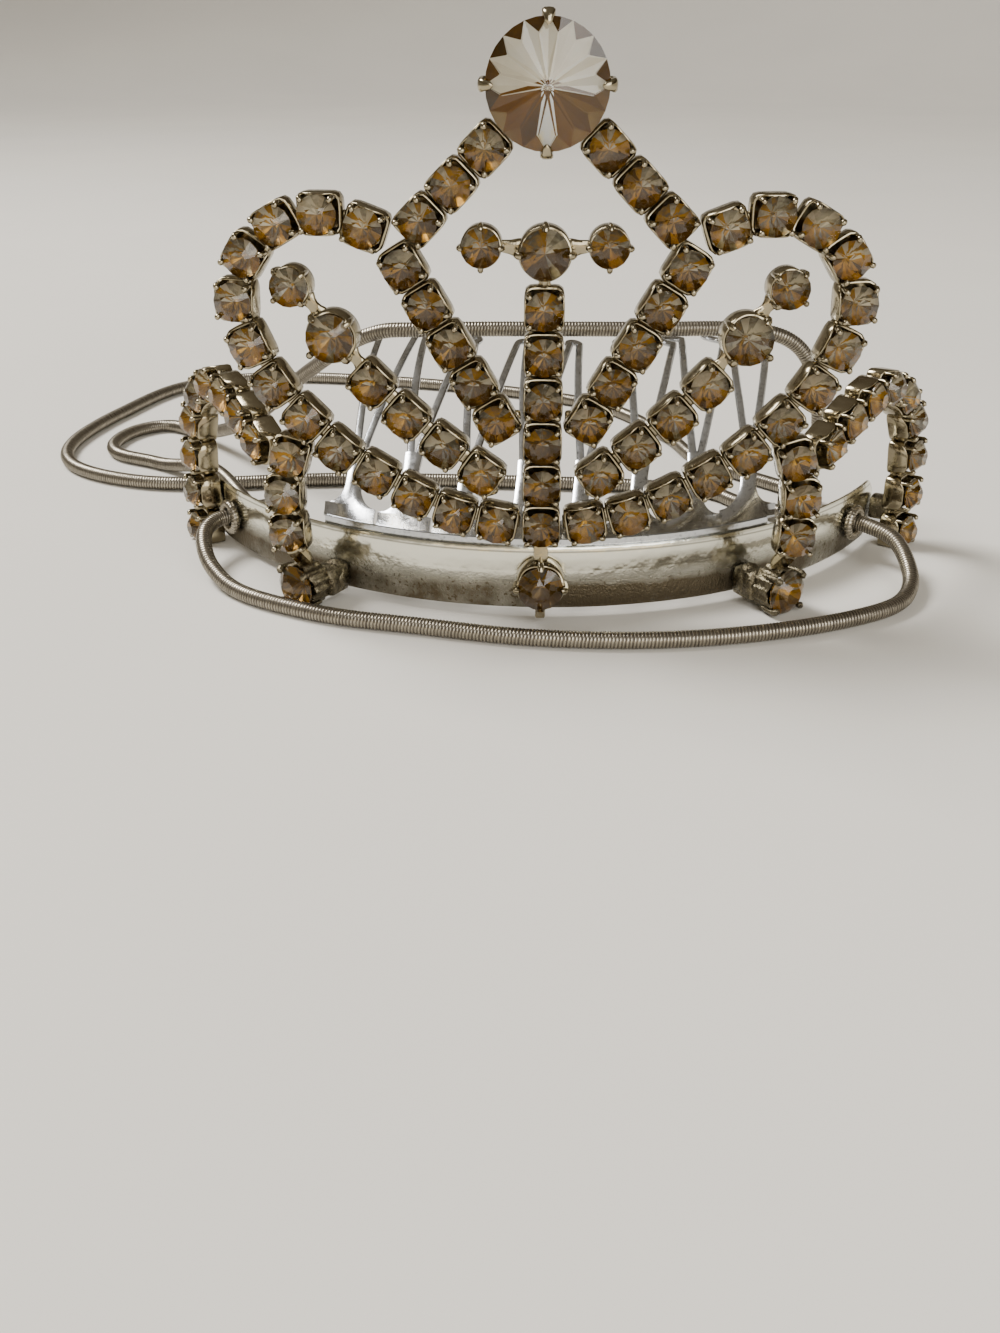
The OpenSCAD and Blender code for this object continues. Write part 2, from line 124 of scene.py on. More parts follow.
# The cord's two runs between its bores: [across, distance behind the band's front, height]. At each
# end a run also has two points on the bore's axis, at these distances outside the band's radius.
CORD_FRONT_ENDS = [-0.25, 2.2]
CORD_REAR_ENDS = [-0.35, -2.6]
CORD_FRONT = [
    [-39.9, 14.6, 4.1], [-39.4, 11.4, 3.1], [-37.9, 8.4, 1.9], [-35, 4.8, 1.05], [-30.6, 1.3, 0.97],
    [-22.5, -2.6, 0.97], [-12.8, -5, 0.97], [-2, -7.4, 0.97], [8, -8, 0.97], [17, -7.2, 0.97],
    [26, -5, 0.97], [33.8, -1.8, 0.97], [39.4, 2, 1], [42, 6.6, 1.5], [42.3, 11, 2.9],
    [41.4, 14.4, 4.1],
]
CORD_REAR = [
    [33.2, 23.4, 3.9], [31.2, 28.6, 2], [26.5, 35.2, 0.97], [17, 41.2, 0.97], [-24, 43.5, 0.97],
    [-47.5, 41, 0.97], [-59, 43, 0.97], [-67.4, 49.5, 0.97], [-70.2, 60, 0.97], [-67.3, 76, 0.97],
    [-60.5, 92.5, 0.97], [-44, 99, 0.97], [-14, 93.5, 0.97], [9, 82.5, 0.97], [19, 66, 0.97],
    [23.5, 53, 0.97], [34.9, 39.8, 1.1], [35.9, 36.6, 4.4], [35.8, 34.9, 11],
    [34.4, 33.6, 18], [31.2, 32.5, 22.7], [25, 31.4, 24.6], [12, 30.4, 24.8], [-13, 30, 24.7],
    [-21.5, 31.6, 23.6], [-30, 37, 17.8], [-40.5, 48.5, 8], [-50.5, 62.5, 1.8], [-57.5, 68.6, 0.97],
    [-62.2, 66, 0.97], [-63.9, 59.5, 0.97], [-61.6, 54, 0.97], [-54, 49.4, 1], [-44.8, 41.3, 2.95],
    [-38, 31, 1.7], [-34.6, 24.6, 3.6],
]


# ---------------------------------------------------------------- properties

def length(name, about, value):
    """A size in metres."""
    return bpy.props.FloatProperty(name=name, description=about, default=value, min=0.0,
                                   subtype="DISTANCE", unit="LENGTH", precision=5)


def turn(name, about, value):
    """An angle, given in degrees and kept in radians."""
    return bpy.props.FloatProperty(name=name, description=about, default=math.radians(value),
                                   subtype="ANGLE", unit="ROTATION")


def share(name, about, value):
    """A number from nought to one."""
    return bpy.props.FloatProperty(name=name, description=about, default=value, min=0.0, max=1.0,
                                   subtype="FACTOR")


def watts(name, about, value):
    """The power of a lamp."""
    return bpy.props.FloatProperty(name=name, description=about, default=value, min=0.0,
                                   unit="POWER")


def colour(name, about, value):
    """A linear colour."""
    return bpy.props.FloatVectorProperty(name=name, description=about, default=value, size=3,
                                         min=0.0, max=1.0, subtype="COLOR")


class BandSizes(bpy.types.PropertyGroup):
    """Sizes of the curved band."""
    radius: length("Radius", "Radius of the band on its outer face", 0.0463)
    half_turn: turn("Half turn", "Half of the angle of the band's arc", 63.5)
    height: length("Height", "Height of the strip", 0.007)
    thickness: length("Thickness", "Thickness of the strip", 0.0006)
    lift: length("Lift", "Height of the strip's lower edge above the floor", 0.001)
    bore: length("Bore", "Diameter of the hole for the cord", 0.0026)
    bore_turn: turn("Bore turn", "Angle from the middle line to a bore", 53.5)


class CupSizes(bpy.types.PropertyGroup):
    """Sizes of the cups and their links."""
    small_width: length("Small width", "Outer width of a small cup", 0.004)
    small_depth: length("Small depth", "Depth of a small cup", 0.0028)
    small_bore: length("Small stone", "Diameter of a small stone", 0.00385)
    big_width: length("Big width", "Outer width of a big cup", 0.0052)
    big_depth: length("Big depth", "Depth of a big cup", 0.003)
    big_bore: length("Big stone", "Diameter of a big stone", 0.0049)
    wall: length("Wall", "Thickness of a cup's side walls", 0.00028)
    link: length("Link", "Width of the link between two cups", 0.0016)


class PanelSizes(bpy.types.PropertyGroup):
    """The gently bent panel that the hearts lie in."""
    radius: length("Radius", "Radius that the hearts are bent to", 0.2)
    lean: turn("Lean", "Lean of the panel towards the front", 0.5)
    gap: length("Gap", "Stone plane of the panel in front of the band", 0.002)
    stone: length("Main stone", "Diameter of the main stone", 0.0114)
    stone_height: length("Main stone height", "Height of its middle along the panel", 0.054)


class CombSizes(bpy.types.PropertyGroup):
    """Sizes of the comb."""
    pitch: length("Pitch", "Distance between two stems", 0.0064)
    stem: length("Stem", "Width of a stem", 0.0018)
    prong: length("Prong", "Width of a prong", 0.0009)
    thickness: length("Thickness", "Thickness of the sheet", 0.0007)
    reach: length("Reach", "How far the teeth reach back", 0.03)
    rise: length("Rise", "How far the teeth rise", 0.0146)
    skew: turn("Skew", "Turn of the teeth to the right", 6.5)
    shift: length("Shift", "Distance of the comb's middle to the right of the band's", 0.0007)


class CordSizes(bpy.types.PropertyGroup):
    """Sizes of the elastic cord."""
    diameter: length("Diameter", "Diameter of the cord", 0.0019)
    rib: length("Rib", "Distance between two turns of its wire", 0.00038)
    groove: length("Groove", "Depth of the groove between two turns", 0.00009)


class Finishes(bpy.types.PropertyGroup):
    """Colours of the metals and stones."""
    cup: colour("Cup metal", "Plating of the cups", (0.36, 0.315, 0.215))
    band: colour("Band metal", "Plating of the band", (0.76, 0.75, 0.65))
    comb: colour("Comb metal", "Plating of the comb", (0.60, 0.62, 0.65))
    # Dull spots on the cups and the solder, and the darkest colour of the band's painted shade
    # along its lower edge
    tarnish_and_shade: colour("Tarnish", "Dull places of the plating", (0.20, 0.165, 0.11))
    wire: colour("Cord wire", "Wire wound round the cord", (0.38, 0.345, 0.28))
    # Painted shade: the colour at the bottom of the cord's grooves
    groove: colour("Cord groove", "Core between the turns of wire", (0.10, 0.085, 0.07))
    glass: colour("Glass", "Body of the stones", (0.96, 0.94, 0.9))
    # Painted reflection: the warm tint laid on each stone's lower half
    amber_reflection: colour("Amber", "Warm tint in the stones' lower half", (1.0, 0.78, 0.34))
    # Painted reflection: the foils' brown lower halves and pale upper halves
    brown: colour("Brown", "Brown facets at the back of the stones", (0.41, 0.215, 0.013))
    pale: colour("Pale", "Pale facets at the back of the stones", (0.54, 0.51, 0.41))


class StageSettings(bpy.types.PropertyGroup):
    """The floor and the light."""
    floor: colour("Floor", "Colour of the floor", (0.79, 0.77, 0.72))
    sun: bpy.props.FloatProperty(name="Even light", description="Strength of the wide even light",
                                 default=1.8, min=0.0)
    key: watts("Key light", "Power of the main soft light", 3.5)
    fill: watts("Fill light", "Power of the soft light in front", 1.8)
    warm: watts("Warm light", "Power of the low warm light", 0.08)
    sky: share("Sky", "Strength of the even light from all round", 0.8)


class TiaraSettings(bpy.types.PropertyGroup):
    """All sizes and colours of the tiara."""
    band: bpy.props.PointerProperty(type=BandSizes, name="Band", description="The band's sizes")
    cup: bpy.props.PointerProperty(type=CupSizes, name="Cups", description="The cups' sizes")
    panel: bpy.props.PointerProperty(type=PanelSizes, name="Panel", description="The hearts' panel")
    comb: bpy.props.PointerProperty(type=CombSizes, name="Comb", description="The comb's sizes")
    cord: bpy.props.PointerProperty(type=CordSizes, name="Cord", description="The cord's sizes")
    finish: bpy.props.PointerProperty(type=Finishes, name="Finishes", description="Colours")
    stage: bpy.props.PointerProperty(type=StageSettings, name="Stage",
                                     description="Floor and light")


def settings():
    """The scene's tiara settings."""
    return bpy.context.scene.tiara


# ---------------------------------------------------------------- surfaces

def unit(v):
    """Vectors of length one in the same directions."""
    v = np.asarray(v, float)
    return v / np.linalg.norm(v, axis=-1, keepdims=True)


def smoothstep(x):
    """Nought below 0, one above 1, and 3x^2 - 2x^3 between."""
    x = np.clip(x, 0, 1)
    return x * x * (3 - 2 * x)


def volume(points, faces):
    """The sum of p0 . (p1 x p2) / 6 over the triangles: the volume inside outward faces."""
    total = 0.0
    for group in faces:
        for i in range(2, group.shape[1]):
            a, b, c = points[group[:, 0]], points[group[:, i - 1]], points[group[:, i]]
            total += np.einsum("ij,ij->", a, np.cross(b, c)) / 6
    return total


def outwards(points, *parts):
    """Parts of one closed skin, lists of face groups, turned round if its volume is negative."""
    if volume(points, sum(parts, [])) < 0:
        return [[group[:, ::-1] for group in part] for part in parts]
    return parts


def facing(a):
    """Level directions, at angles to the right of straight ahead."""
    return np.stack([np.sin(a), -np.cos(a), np.zeros_like(a)], -1)


def circle(radius, z, count, shift=0.0):
    """Points at one height, at the angles 2 pi (k + shift) / count round the z axis."""
    a = 2 * np.pi * (np.arange(count) + shift) / count
    return np.stack([radius * np.cos(a), radius * np.sin(a), np.full(count, z)], -1)


def loft(rings):
    """A closed skin: quads between rings of equal count, and a fan over each end ring."""
    rows, columns = rings.shape[:2]
    j = np.arange(columns)
    k = np.roll(j, -1)
    start = np.arange(rows - 1)[:, None] * columns
    quads = np.stack([start + j, start + k, start + columns + k, start + columns + j], -1)
    quads = quads.reshape(-1, 4)
    low, high = rows * columns, rows * columns + 1
    last = (rows - 1) * columns
    fans = np.concatenate([np.stack([np.full(columns, low), k, j], 1),
                           np.stack([np.full(columns, high), last + j, last + k], 1)])
    points = np.concatenate([rings.reshape(-1, 3), rings.mean(1)[[0, -1]]])
    return points, outwards(points, [quads, fans])[0]


def oval(sides, power):
    """Points round |x|^p + |y|^p = 1, at equal angles, the first half a step from the x axis."""
    a = 2 * np.pi * (np.arange(sides) + 0.5) / sides
    c, s = np.cos(a), np.sin(a)
    r = (np.abs(c) ** power + np.abs(s) ** power) ** (-1 / power)
    return c * r, s * r


def sweep(path, across, out, half_w, half_h, power=5.0, sides=12):
    """An oval carried along a path: centre + across * half_w * c + out * half_h * s."""
    c, s = oval(sides, power)
    path, across, out = (np.broadcast_to(v, path.shape) for v in (path, across, out))
    half_w = np.broadcast_to(half_w, len(path))[:, None, None]
    half_h = np.broadcast_to(half_h, len(path))[:, None, None]
    rings = (path[:, None] + across[:, None] * half_w * c[:, None]
             + out[:, None] * half_h * s[:, None])
    return loft(rings)


def tube(path, radius, across, sides):
    """A round rod in the plane at right angles to across: its rings stand square to the path."""
    tangent = unit(np.gradient(path, axis=0))
    return sweep(path, across, np.cross(tangent, across), radius, radius, 2.0, sides)


def bar(a, b, width, height, up=UP, waist=0.0):
    """A straight bar with softened ends: its section shrinks over the last tenth at each end.

    A waist takes the part waist * sin(pi t) off its width at t of its length.
    """
    a, b = np.asarray(a, float), np.asarray(b, float)
    along = unit(b - a)
    out = unit(up - along * (up @ along))
    t = np.array([0, 0.04, 0.12, 0.3, 0.5, 0.7, 0.88, 0.96, 1])
    shrink = np.array([0.72, 0.92, 1, 1, 1, 1, 1, 0.92, 0.72])
    path = a + (b - a) * t[:, None]
    half_w = width / 2 * shrink * (1 - waist * np.sin(np.pi * t))
    return sweep(path, np.cross(out, along), out, half_w, height / 2 * shrink)


def lump(centre, axes, radii, seed):
    """A blob of solder: a ball whose radius is 1 + 0.32 m, m the mean of five sines across it."""
    rng = np.random.default_rng(seed)
    a = np.linspace(0, np.pi, 13)[1:-1, None]
    b = np.linspace(0, 2 * np.pi, 18, endpoint=False)[None]
    ball = np.stack(np.broadcast_arrays(np.sin(a) * np.cos(b), np.sin(a) * np.sin(b),
                                        np.cos(a)), -1)
    waves = rng.normal(size=(5, 3)) * 3.2
    ripple = np.sin(ball @ waves.T + rng.uniform(0, 6.28, 5)).sum(-1) / 5
    local = ball * (1 + 0.32 * ripple[..., None]) * np.asarray(radii)
    return loft(local @ np.asarray(axes) + centre)


def catmull(route, per):
    """A smooth curve through the points of a route, with per steps from each to the next.

    Between b and c it is (2b + (c-a)t + (2a-5b+4c-d)t^2 + (3b-a-3c+d)t^3) / 2.
    """
    p = np.asarray(route, float)
    last = len(p) - 1
    i = np.arange(last)
    a, b, c, d = (p[k][:, None] for k in (np.maximum(i - 1, 0), i, i + 1, np.minimum(i + 2, last)))
    t = (np.arange(per) / per)[None, :, None]
    q = (2 * b + (c - a) * t + (2 * a - 5 * b + 4 * c - d) * t ** 2
         + (3 * b - a - 3 * c + d) * t ** 3) / 2
    return np.concatenate([q.reshape(-1, p.shape[1]), p[-1:]])


def running(line):
    """Distance along a line at each of its points."""
    return np.concatenate([[0], np.cumsum(np.linalg.norm(np.diff(line, axis=0), axis=1))])


def at_distance(line, sums, s):
    """Points of a line at distances along it."""
    return np.stack([np.interp(s, sums, line[:, k]) for k in range(line.shape[1])], -1)


def equal_steps(route, count):
    """Places at equal steps along the smooth curve of a route, in millimetres, and directions."""
    line = catmull(route, 12)
    sums = running(line)
    s = np.linspace(0, sums[-1], count)
    ahead = at_distance(line, sums, np.minimum(s + 0.5, sums[-1]))
    behind = at_distance(line, sums, np.maximum(s - 0.5, 0))
    return at_distance(line, sums, s), ahead - behind


def new_object(name, data):
    """An object in the scene."""
    made = bpy.data.objects.new(name, data)
    bpy.context.scene.collection.objects.link(made)
    return made


def mark(mesh, name, domain, values):
    """A number on each point or face of a mesh."""
    made = mesh.attributes.new(name, "FLOAT", domain)
    made.data.foreach_set("value", values.astype(np.float32).ravel())


class Piece:
    """Gathers patches and puts them into one mesh at the origin."""

    def __init__(self):
        self.points, self.loops, self.sizes = [], [], []
        self.finish, self.tint, self.high = [], [], []
        self.count = 0

    def add(self, patch, finish=0):
        """Adds one patch: its points and its faces, in groups of one shape and number of corners.

        Each face has tint 0, and each point high 0.5, until they are set otherwise.
        """
        points, faces = patch
        for group in faces:
            self.loops.append((group + self.count).ravel())
            self.sizes.append(np.full(len(group), group.shape[1]))
            self.finish.append(np.full(len(group), finish))
            self.tint.append(np.zeros(len(group)))
        self.points.append(points)
        self.high.append(np.full(len(points), 0.5))
        self.count += len(points)

    def add_at(self, patch, seats, finish=0, tints=None):
        """Adds a copy of a patch at each seat: middle + x * across + y * along + z * outwards."""
        points, faces = patch
        middle, x, z = seats[:, 0], seats[:, 1], seats[:, 2]
        frames = np.stack([x, np.cross(z, x), z], 1)
        moved = np.einsum("nk,skj->snj", points, frames) + middle[:, None]
        shift = np.arange(len(seats))[:, None, None] * len(points)
        copies = [(group[None] + shift).reshape(-1, group.shape[1]) for group in faces]
        self.add((moved.reshape(-1, 3), copies), finish)
        if tints is not None:
            del self.tint[-len(faces):]
            self.tint += [t.ravel() for t in tints]

    def put(self, name, finishes, slot, *replaced, sharp=35.0):
        """Makes the mesh and its object, which rides on the root body."""
        mesh = bpy.data.meshes.new(name)
        points, loops = np.concatenate(self.points), np.concatenate(self.loops)
        sizes = np.concatenate(self.sizes)
        mesh.vertices.add(len(points))
        mesh.vertices.foreach_set("co", points.astype(np.float32).ravel())
        mesh.loops.add(len(loops))
        mesh.loops.foreach_set("vertex_index", loops.astype(np.int32))
        mesh.polygons.add(len(sizes))
        starts = np.concatenate([[0], np.cumsum(sizes)[:-1]])
        mesh.polygons.foreach_set("loop_start", starts.astype(np.int32))
        mesh.polygons.foreach_set("material_index", np.concatenate(self.finish).astype(np.int32))
        mesh.polygons.foreach_set("use_smooth", np.full(len(sizes), sharp > 0))
        mark(mesh, "tint", "FACE", np.concatenate(self.tint))
        mark(mesh, "high", "POINT", np.concatenate(self.high))
        for finish in finishes:
            mesh.materials.append(finish)
        mesh.update(calc_edges=True)
        mesh.validate()
        if sharp > 0:
            mesh.set_sharp_from_angle(angle=math.radians(sharp))
        made = new_object(name, mesh)
        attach(made, "root")
        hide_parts(*replaced)
        return made


# ---------------------------------------------------------------- places

def tilt(v):
    """Leans points of the panel forward about the middle line's foot."""
    lean = settings().panel.lean
    c, s = math.cos(lean), math.sin(lean)
    return np.stack([v[..., 0], v[..., 1] * c - v[..., 2] * s, v[..., 1] * s + v[..., 2] * c], -1)


def panel_point(u, w):
    """A point of the panel: R sin(u/R) across, R (1 - cos(u/R)) back and w up, leaned."""
    panel = settings().panel
    u, w = np.broadcast_arrays(np.asarray(u, float) * MM, np.asarray(w, float) * MM)
    a = u / panel.radius
    flat = np.stack([panel.radius * np.sin(a), panel.radius * (1 - np.cos(a)), w], -1)
    return tilt(flat) + [MID_X, FRONT_Y - panel.gap, 0]


def panel_seats(u, w, du, dw):
    """Seats on the panel, each [middle of the rim, direction of the chain, outwards]."""
    u, w, du, dw = (np.atleast_1d(np.asarray(v, float)) for v in (u, w, du, dw))
    u, w, du, dw = np.broadcast_arrays(u, w, du, dw)
    a = u * MM / settings().panel.radius
    d = unit(np.stack([du, dw], -1))
    chain = tilt(np.stack([np.cos(a) * d[:, 0], np.sin(a) * d[:, 0], d[:, 1]], -1))
    out = tilt(facing(a))
    return np.stack([panel_point(u, w), chain, out], 1)


def panel_run(side, route, count):
    """Seats at equal steps along a route on the panel."""
    place, step = equal_steps(route, count)
    return panel_seats(side * place[:, 0], place[:, 1], side * step[:, 0], step[:, 1])


def arch_seats(side):
    """Seats of an arch, in the upright plane from its foot to its front end."""
    foot, end = np.array(ARCH_FEET[side]), np.array(ARCH_END)
    way = np.linalg.norm(foot - end)
    angle = math.atan2(foot[0] - end[0], foot[1] - end[1])
    place, step = equal_steps([[way * p, z] for p, z in ARCH_ROUTE], 9)
    x, y = -side * math.sin(angle), -math.cos(angle)
    d = unit(step)
    middle = np.stack([MID_X + (side * foot[0] + x * place[:, 0]) * MM,
                       FRONT_Y + (foot[1] + y * place[:, 0]) * MM, place[:, 1] * MM], -1)
    chain = np.stack([x * d[:, 0], y * d[:, 0], d[:, 1]], -1)
    out = np.broadcast_to([side * math.cos(angle), -math.sin(angle), 0], chain.shape)
    return np.stack([middle, chain, out], 1)


def seat(middle, chain, out):
    """One seat of its own."""
    return np.array([[middle, chain, out]], float)


def ray_stretch(side):
    """The side, with the left ray a little wider."""
    return side * (LEFT_SPREAD if side == LEFT else 1)


def ray_big_seat(side):
    """The seat of a ray's big cup."""
    x = ray_stretch(side)
    du, dw = np.subtract(RAY_TIP, RAY_ROUTE[3])
    return panel_seats(x * RAY_BIG[0], RAY_BIG[1], x * du, dw)


def front_seat():
    """The seat of the big cup on the band's front."""
    depth = settings().cup.big_depth
    return seat([MID_X, FRONT_Y - depth - CLEARANCE, FRONT_CUP_HEIGHT * MM], UP, [0, -1, 0])


def foot_seat(side):
    """The seat of the big cup at a post's foot, turned outwards."""
    middle = [MID_X + side * POST_FOOT[0] * MM, FRONT_Y + POST_FOOT[1] * MM,
              settings().cup.big_width / 2]
    return seat(middle, UP, facing(side * POST_FOOT_TURN))


def cross_seat():
    """The seat of the big cup in the middle of the cross."""
    return panel_seats(0, CROSS_HEIGHT, 0, 1)


def arc_middle(z):
    """The middle of the band's arc, at a height."""
    return np.array([MID_X, FRONT_Y + settings().band.radius, z])


def on_band(point):
    """The place where the solder from a point meets the band's outer face."""
    middle = arc_middle(point[2])
    return middle + unit(point - middle) * (settings().band.radius + CLEARANCE)


def bore_axis(side):
    """The direction from the middle of the band's arc through a bore."""
    return facing(side * settings().band.bore_turn)


def bore_height():
    """The height of the bores' axes."""
    band = settings().band
    return band.lift + band.height / 2


# ---------------------------------------------------------------- finishes

class Nodes:
    """Adds nodes to one node tree."""

    def __init__(self, tree):
        self.tree = tree

    def add(self, kind, sockets=None, **options):
        """A node with its options, and its inputs set or linked."""
        made = self.tree.nodes.new(kind)
        for key, value in options.items():
            setattr(made, key, value)
        self.set(made, sockets or {})
        return made

    def set(self, made, sockets):
        """Sets inputs to numbers, or links them to outputs."""
        for key, value in sockets.items():
            if isinstance(value, bpy.types.NodeSocket):
                self.tree.links.new(value, made.inputs[key])
            else:
                made.inputs[key].default_value = value

    def between(self, value, low, high, to_low, to_high):
        """A value carried from one range into another, and held there."""
        made = self.add("ShaderNodeMapRange", {"Value": value, "From Min": low, "From Max": high,
                                               "To Min": to_low, "To Max": to_high})
        return made.outputs["Result"]

    def ramp(self, value, *stops):
        """A colour ramp of (place, colour) stops."""
        made = self.add("ShaderNodeValToRGB", {"Fac": value})
        elements = made.color_ramp.elements
        while len(elements) < len(stops):
            elements.new(0.5)
        for element, (place, shade) in zip(elements, stops):
            element.position = place
            element.color = (*shade[:3], 1)
        return made.outputs["Color"]

    def sum(self, a, b, operation="ADD"):
        """Arithmetic on two values."""
        return self.add("ShaderNodeMath", {0: a, 1: b}, operation=operation).outputs[0]


class Recipe(Nodes):
    """Adds nodes to one material round its Principled shader."""

    def __init__(self, name):
        self.material = bpy.data.materials.new(name)
        self.material.use_nodes = True
        super().__init__(self.material.node_tree)
        self.shader = self.tree.nodes["Principled BSDF"]

    def place(self):
        """Object coordinates."""
        return self.add("ShaderNodeTexCoord").outputs["Object"]

    def attribute(self, name):
        """A number that the mesh carries."""
        return self.add("ShaderNodeAttribute", attribute_name=name).outputs["Fac"]

    def clouded(self, value, noise, amount, low=0.3):
        """A value, raised and lowered by noise by up to an amount."""
        return self.sum(value, self.between(noise, low, 0.7, -amount, amount))

    def noise(self, scale, detail, vector=None):
        """Noise from 0 to 1, with scale waves to a metre."""
        made = self.add("ShaderNodeTexNoise", {"Vector": vector or self.place(), "Scale": scale,
                                               "Detail": detail, "Roughness": 0.55})
        return made.outputs["Fac"]

    def metal(self, shade, roughness, amount=1.0):
        """Makes the shader a metal."""
        self.set(self.shader, {"Base Color": shade, "Metallic": amount, "Roughness": roughness})

    def bump(self, height, distance, strength=1.0):
        """Bumps of a height in metres, on the shader's normal."""
        made = self.add("ShaderNodeBump", {"Height": height, "Distance": distance,
                                           "Strength": strength})
        self.set(self.shader, {"Normal": made.outputs["Normal"]})


def toned(shade, amount):
    """A colour made darker or lighter."""
    return tuple(min(1.0, c * amount) for c in shade)


def cup_metal():
    """Bright plating with faint clouds, fine pits and duller spots."""
    finish = settings().finish
    r = Recipe("plated_cups")
    fine, broad = r.noise(2600, 3), r.noise(420, 3)
    shade = r.ramp(broad, (0.28, toned(finish.tarnish_and_shade, 1.5)), (0.46, toned(finish.cup, 0.93)),
                   (0.75, finish.cup))
    r.metal(shade, r.between(fine, 0.35, 0.7, 0.09, 0.26))
    r.bump(r.sum(fine, broad), 0.00003, 0.5)
    return r.material


def solder_metal():
    """Crumpled solder: grey, rough in patches, with coarse bumps."""
    finish = settings().finish
    r = Recipe("crumpled_solder")
    fine, broad = r.noise(3600, 4), r.noise(1100, 4)
    shade = r.ramp(broad, (0.3, toned(finish.tarnish_and_shade, 0.6)), (0.5, toned(finish.cup, 0.4)),
                   (0.7, toned(finish.cup, 0.75)))
    r.metal(shade, r.between(fine, 0.3, 0.7, 0.18, 0.45))
    r.bump(r.sum(fine, broad), 0.00016, 0.8)
    return r.material


def band_metal():
    """Bright strip with a dark seam under its rim, grainy, rougher and darker towards its lower
    edge: the darkening is painted shade, the floor's shadow painted in as a reflection.
    """
    finish, band = settings().finish, settings().band
    r = Recipe("grainy_band")
    height = r.add("ShaderNodeSeparateXYZ", {"Vector": r.place()}).outputs["Z"]
    # Painted shade: low is 1 near the strip's lower edge, where the colour darkens as a painted
    # reflection of the floor's shadow
    low = r.between(height, band.lift + band.height * 0.62, band.lift + band.height * 0.3, 0, 1)
    fine, broad = r.noise(4200, 4), r.noise(160, 4)
    speck = r.between(r.noise(2300, 2), 0.6, 0.68, 0, 1)
    cloud = r.between(broad, 0.3, 0.7, 0.55, 1.25)
    specks = r.sum(r.sum(speck, low, "MULTIPLY"), 0.35, "MULTIPLY")
    painted_shade_and_specks = r.sum(r.sum(low, cloud, "MULTIPLY"), specks)
    rim = r.between(height, band.lift + band.height * 0.955,
                    band.lift + band.height * 0.94, 0, 0.55)
    seam = r.sum(rim, r.between(height, band.lift + band.height * 0.91,
                                band.lift + band.height * 0.925, 0, 1), "MULTIPLY")
    # Painted shade: towards the lower edge the colour falls from the band's own to the dark tarnish
    # colour
    shade = r.ramp(r.sum(painted_shade_and_specks, seam), (0.08, finish.band), (0.4, toned(finish.band, 0.6)),
                   (0.9, toned(finish.tarnish_and_shade, 0.6)))
    r.metal(shade, r.between(painted_shade_and_specks, 0.0, 0.9, 0.16, 0.34))
    r.bump(r.sum(r.sum(fine, low, "MULTIPLY"), r.sum(broad, 1.6, "MULTIPLY")), 0.00014, 1.0)
    return r.material


def comb_metal():
    """Cool bright sheet with a speckled surface."""
    finish = settings().finish
    r = Recipe("speckled_comb")
    fine, broad = r.noise(2400, 4), r.noise(300, 3)
    shade = r.ramp(fine, (0.3, toned(finish.comb, 0.5)), (0.42, toned(finish.comb, 0.92)),
                   (0.7, finish.comb))
    r.metal(shade, r.between(broad, 0.3, 0.7, 0.12, 0.28))
    r.bump(r.sum(r.sum(fine, 0.3, "MULTIPLY"), broad), 0.00005, 0.5)
    return r.material


def cord_metal():
    """Wound wire: bright on the turns and darker down into the grooves, which the groove attribute
    marks: painted shade in the grooves.
    """
    finish = settings().finish
    r = Recipe("wound_wire")
    uv = r.add("ShaderNodeUVMap", uv_map="wound").outputs["UV"]
    depth = r.clouded(r.attribute("groove"), r.noise(1.3, 3, uv), 0.18, 0.35)
    # Painted shade: the wire's colour darkens with each groove's depth, down to the groove colour
    shade = r.ramp(depth, (0.12, finish.wire), (0.5, toned(finish.wire, 0.6)), (0.9, finish.groove))
    r.metal(shade, r.between(depth, 0.0, 1.0, 0.22, 0.5), 0.95)
    r.bump(r.noise(5200, 2), 0.00002, 0.5)
    return r.material


def stone_glass():
    """Clear glass with a painted warm reflection in each stone's lower half, and polished: the foil
    behind stays sharp.
    """
    finish = settings().finish
    r = Recipe("clear_glass")
    level = r.clouded(r.attribute("high"), r.noise(900, 3), 0.16)
    # Painted reflection: the glass turns amber towards each stone's lowest edge
    shade = r.ramp(level, (0.24, finish.amber_reflection), (0.46, finish.glass))
    r.set(r.shader, {"Base Color": shade, "Transmission Weight": 1.0, "IOR": 1.56,
                     "Roughness": 0.0})
    return r.material


def stone_foil():
    """Half-metallic foil behind a stone: a facet's tint carries it from dark brown to pale, and the
    tints paint a reflection, pale above and brown below.
    """
    finish = settings().finish
    r = Recipe("mirror_foil")
    cloud = r.clouded(r.attribute("tint"), r.noise(1500, 3), 0.1)
    shade = r.ramp(cloud, (0.06, toned(finish.brown, 0.2)), (0.32, finish.brown),
                   (0.52, toned(finish.pale, 0.22)), (0.85, finish.pale))
    r.set(r.shader, {"Base Color": shade, "Metallic": 0.3, "Roughness": 0.2,
                     "Specular IOR Level": 0.2})
    return r.material


def main_foil():
    """Matt foil behind the main stone: pale above and brown below as a painted reflection, with one
    cool bright facet that is a painted highlight.
    """
    r = Recipe("satin_foil")
    cloud = r.clouded(r.attribute("tint"), r.noise(260, 3), 0.05)
    # The last stop is the painted highlight on the lowest long facet
    shade = r.ramp(cloud, (0.05, (0.06, 0.035, 0.008)), (0.3, (0.16, 0.066, 0.001)),
                   (0.5, (0.27, 0.18, 0.06)), (0.75, (0.84, 0.81, 0.68)),
                   (0.97, (0.92, 0.97, 1.0)))
    r.set(r.shader, {"Base Color": shade, "Metallic": 0.0, "Roughness": 0.4,
                     "Specular IOR Level": 0.0})
    return r.material


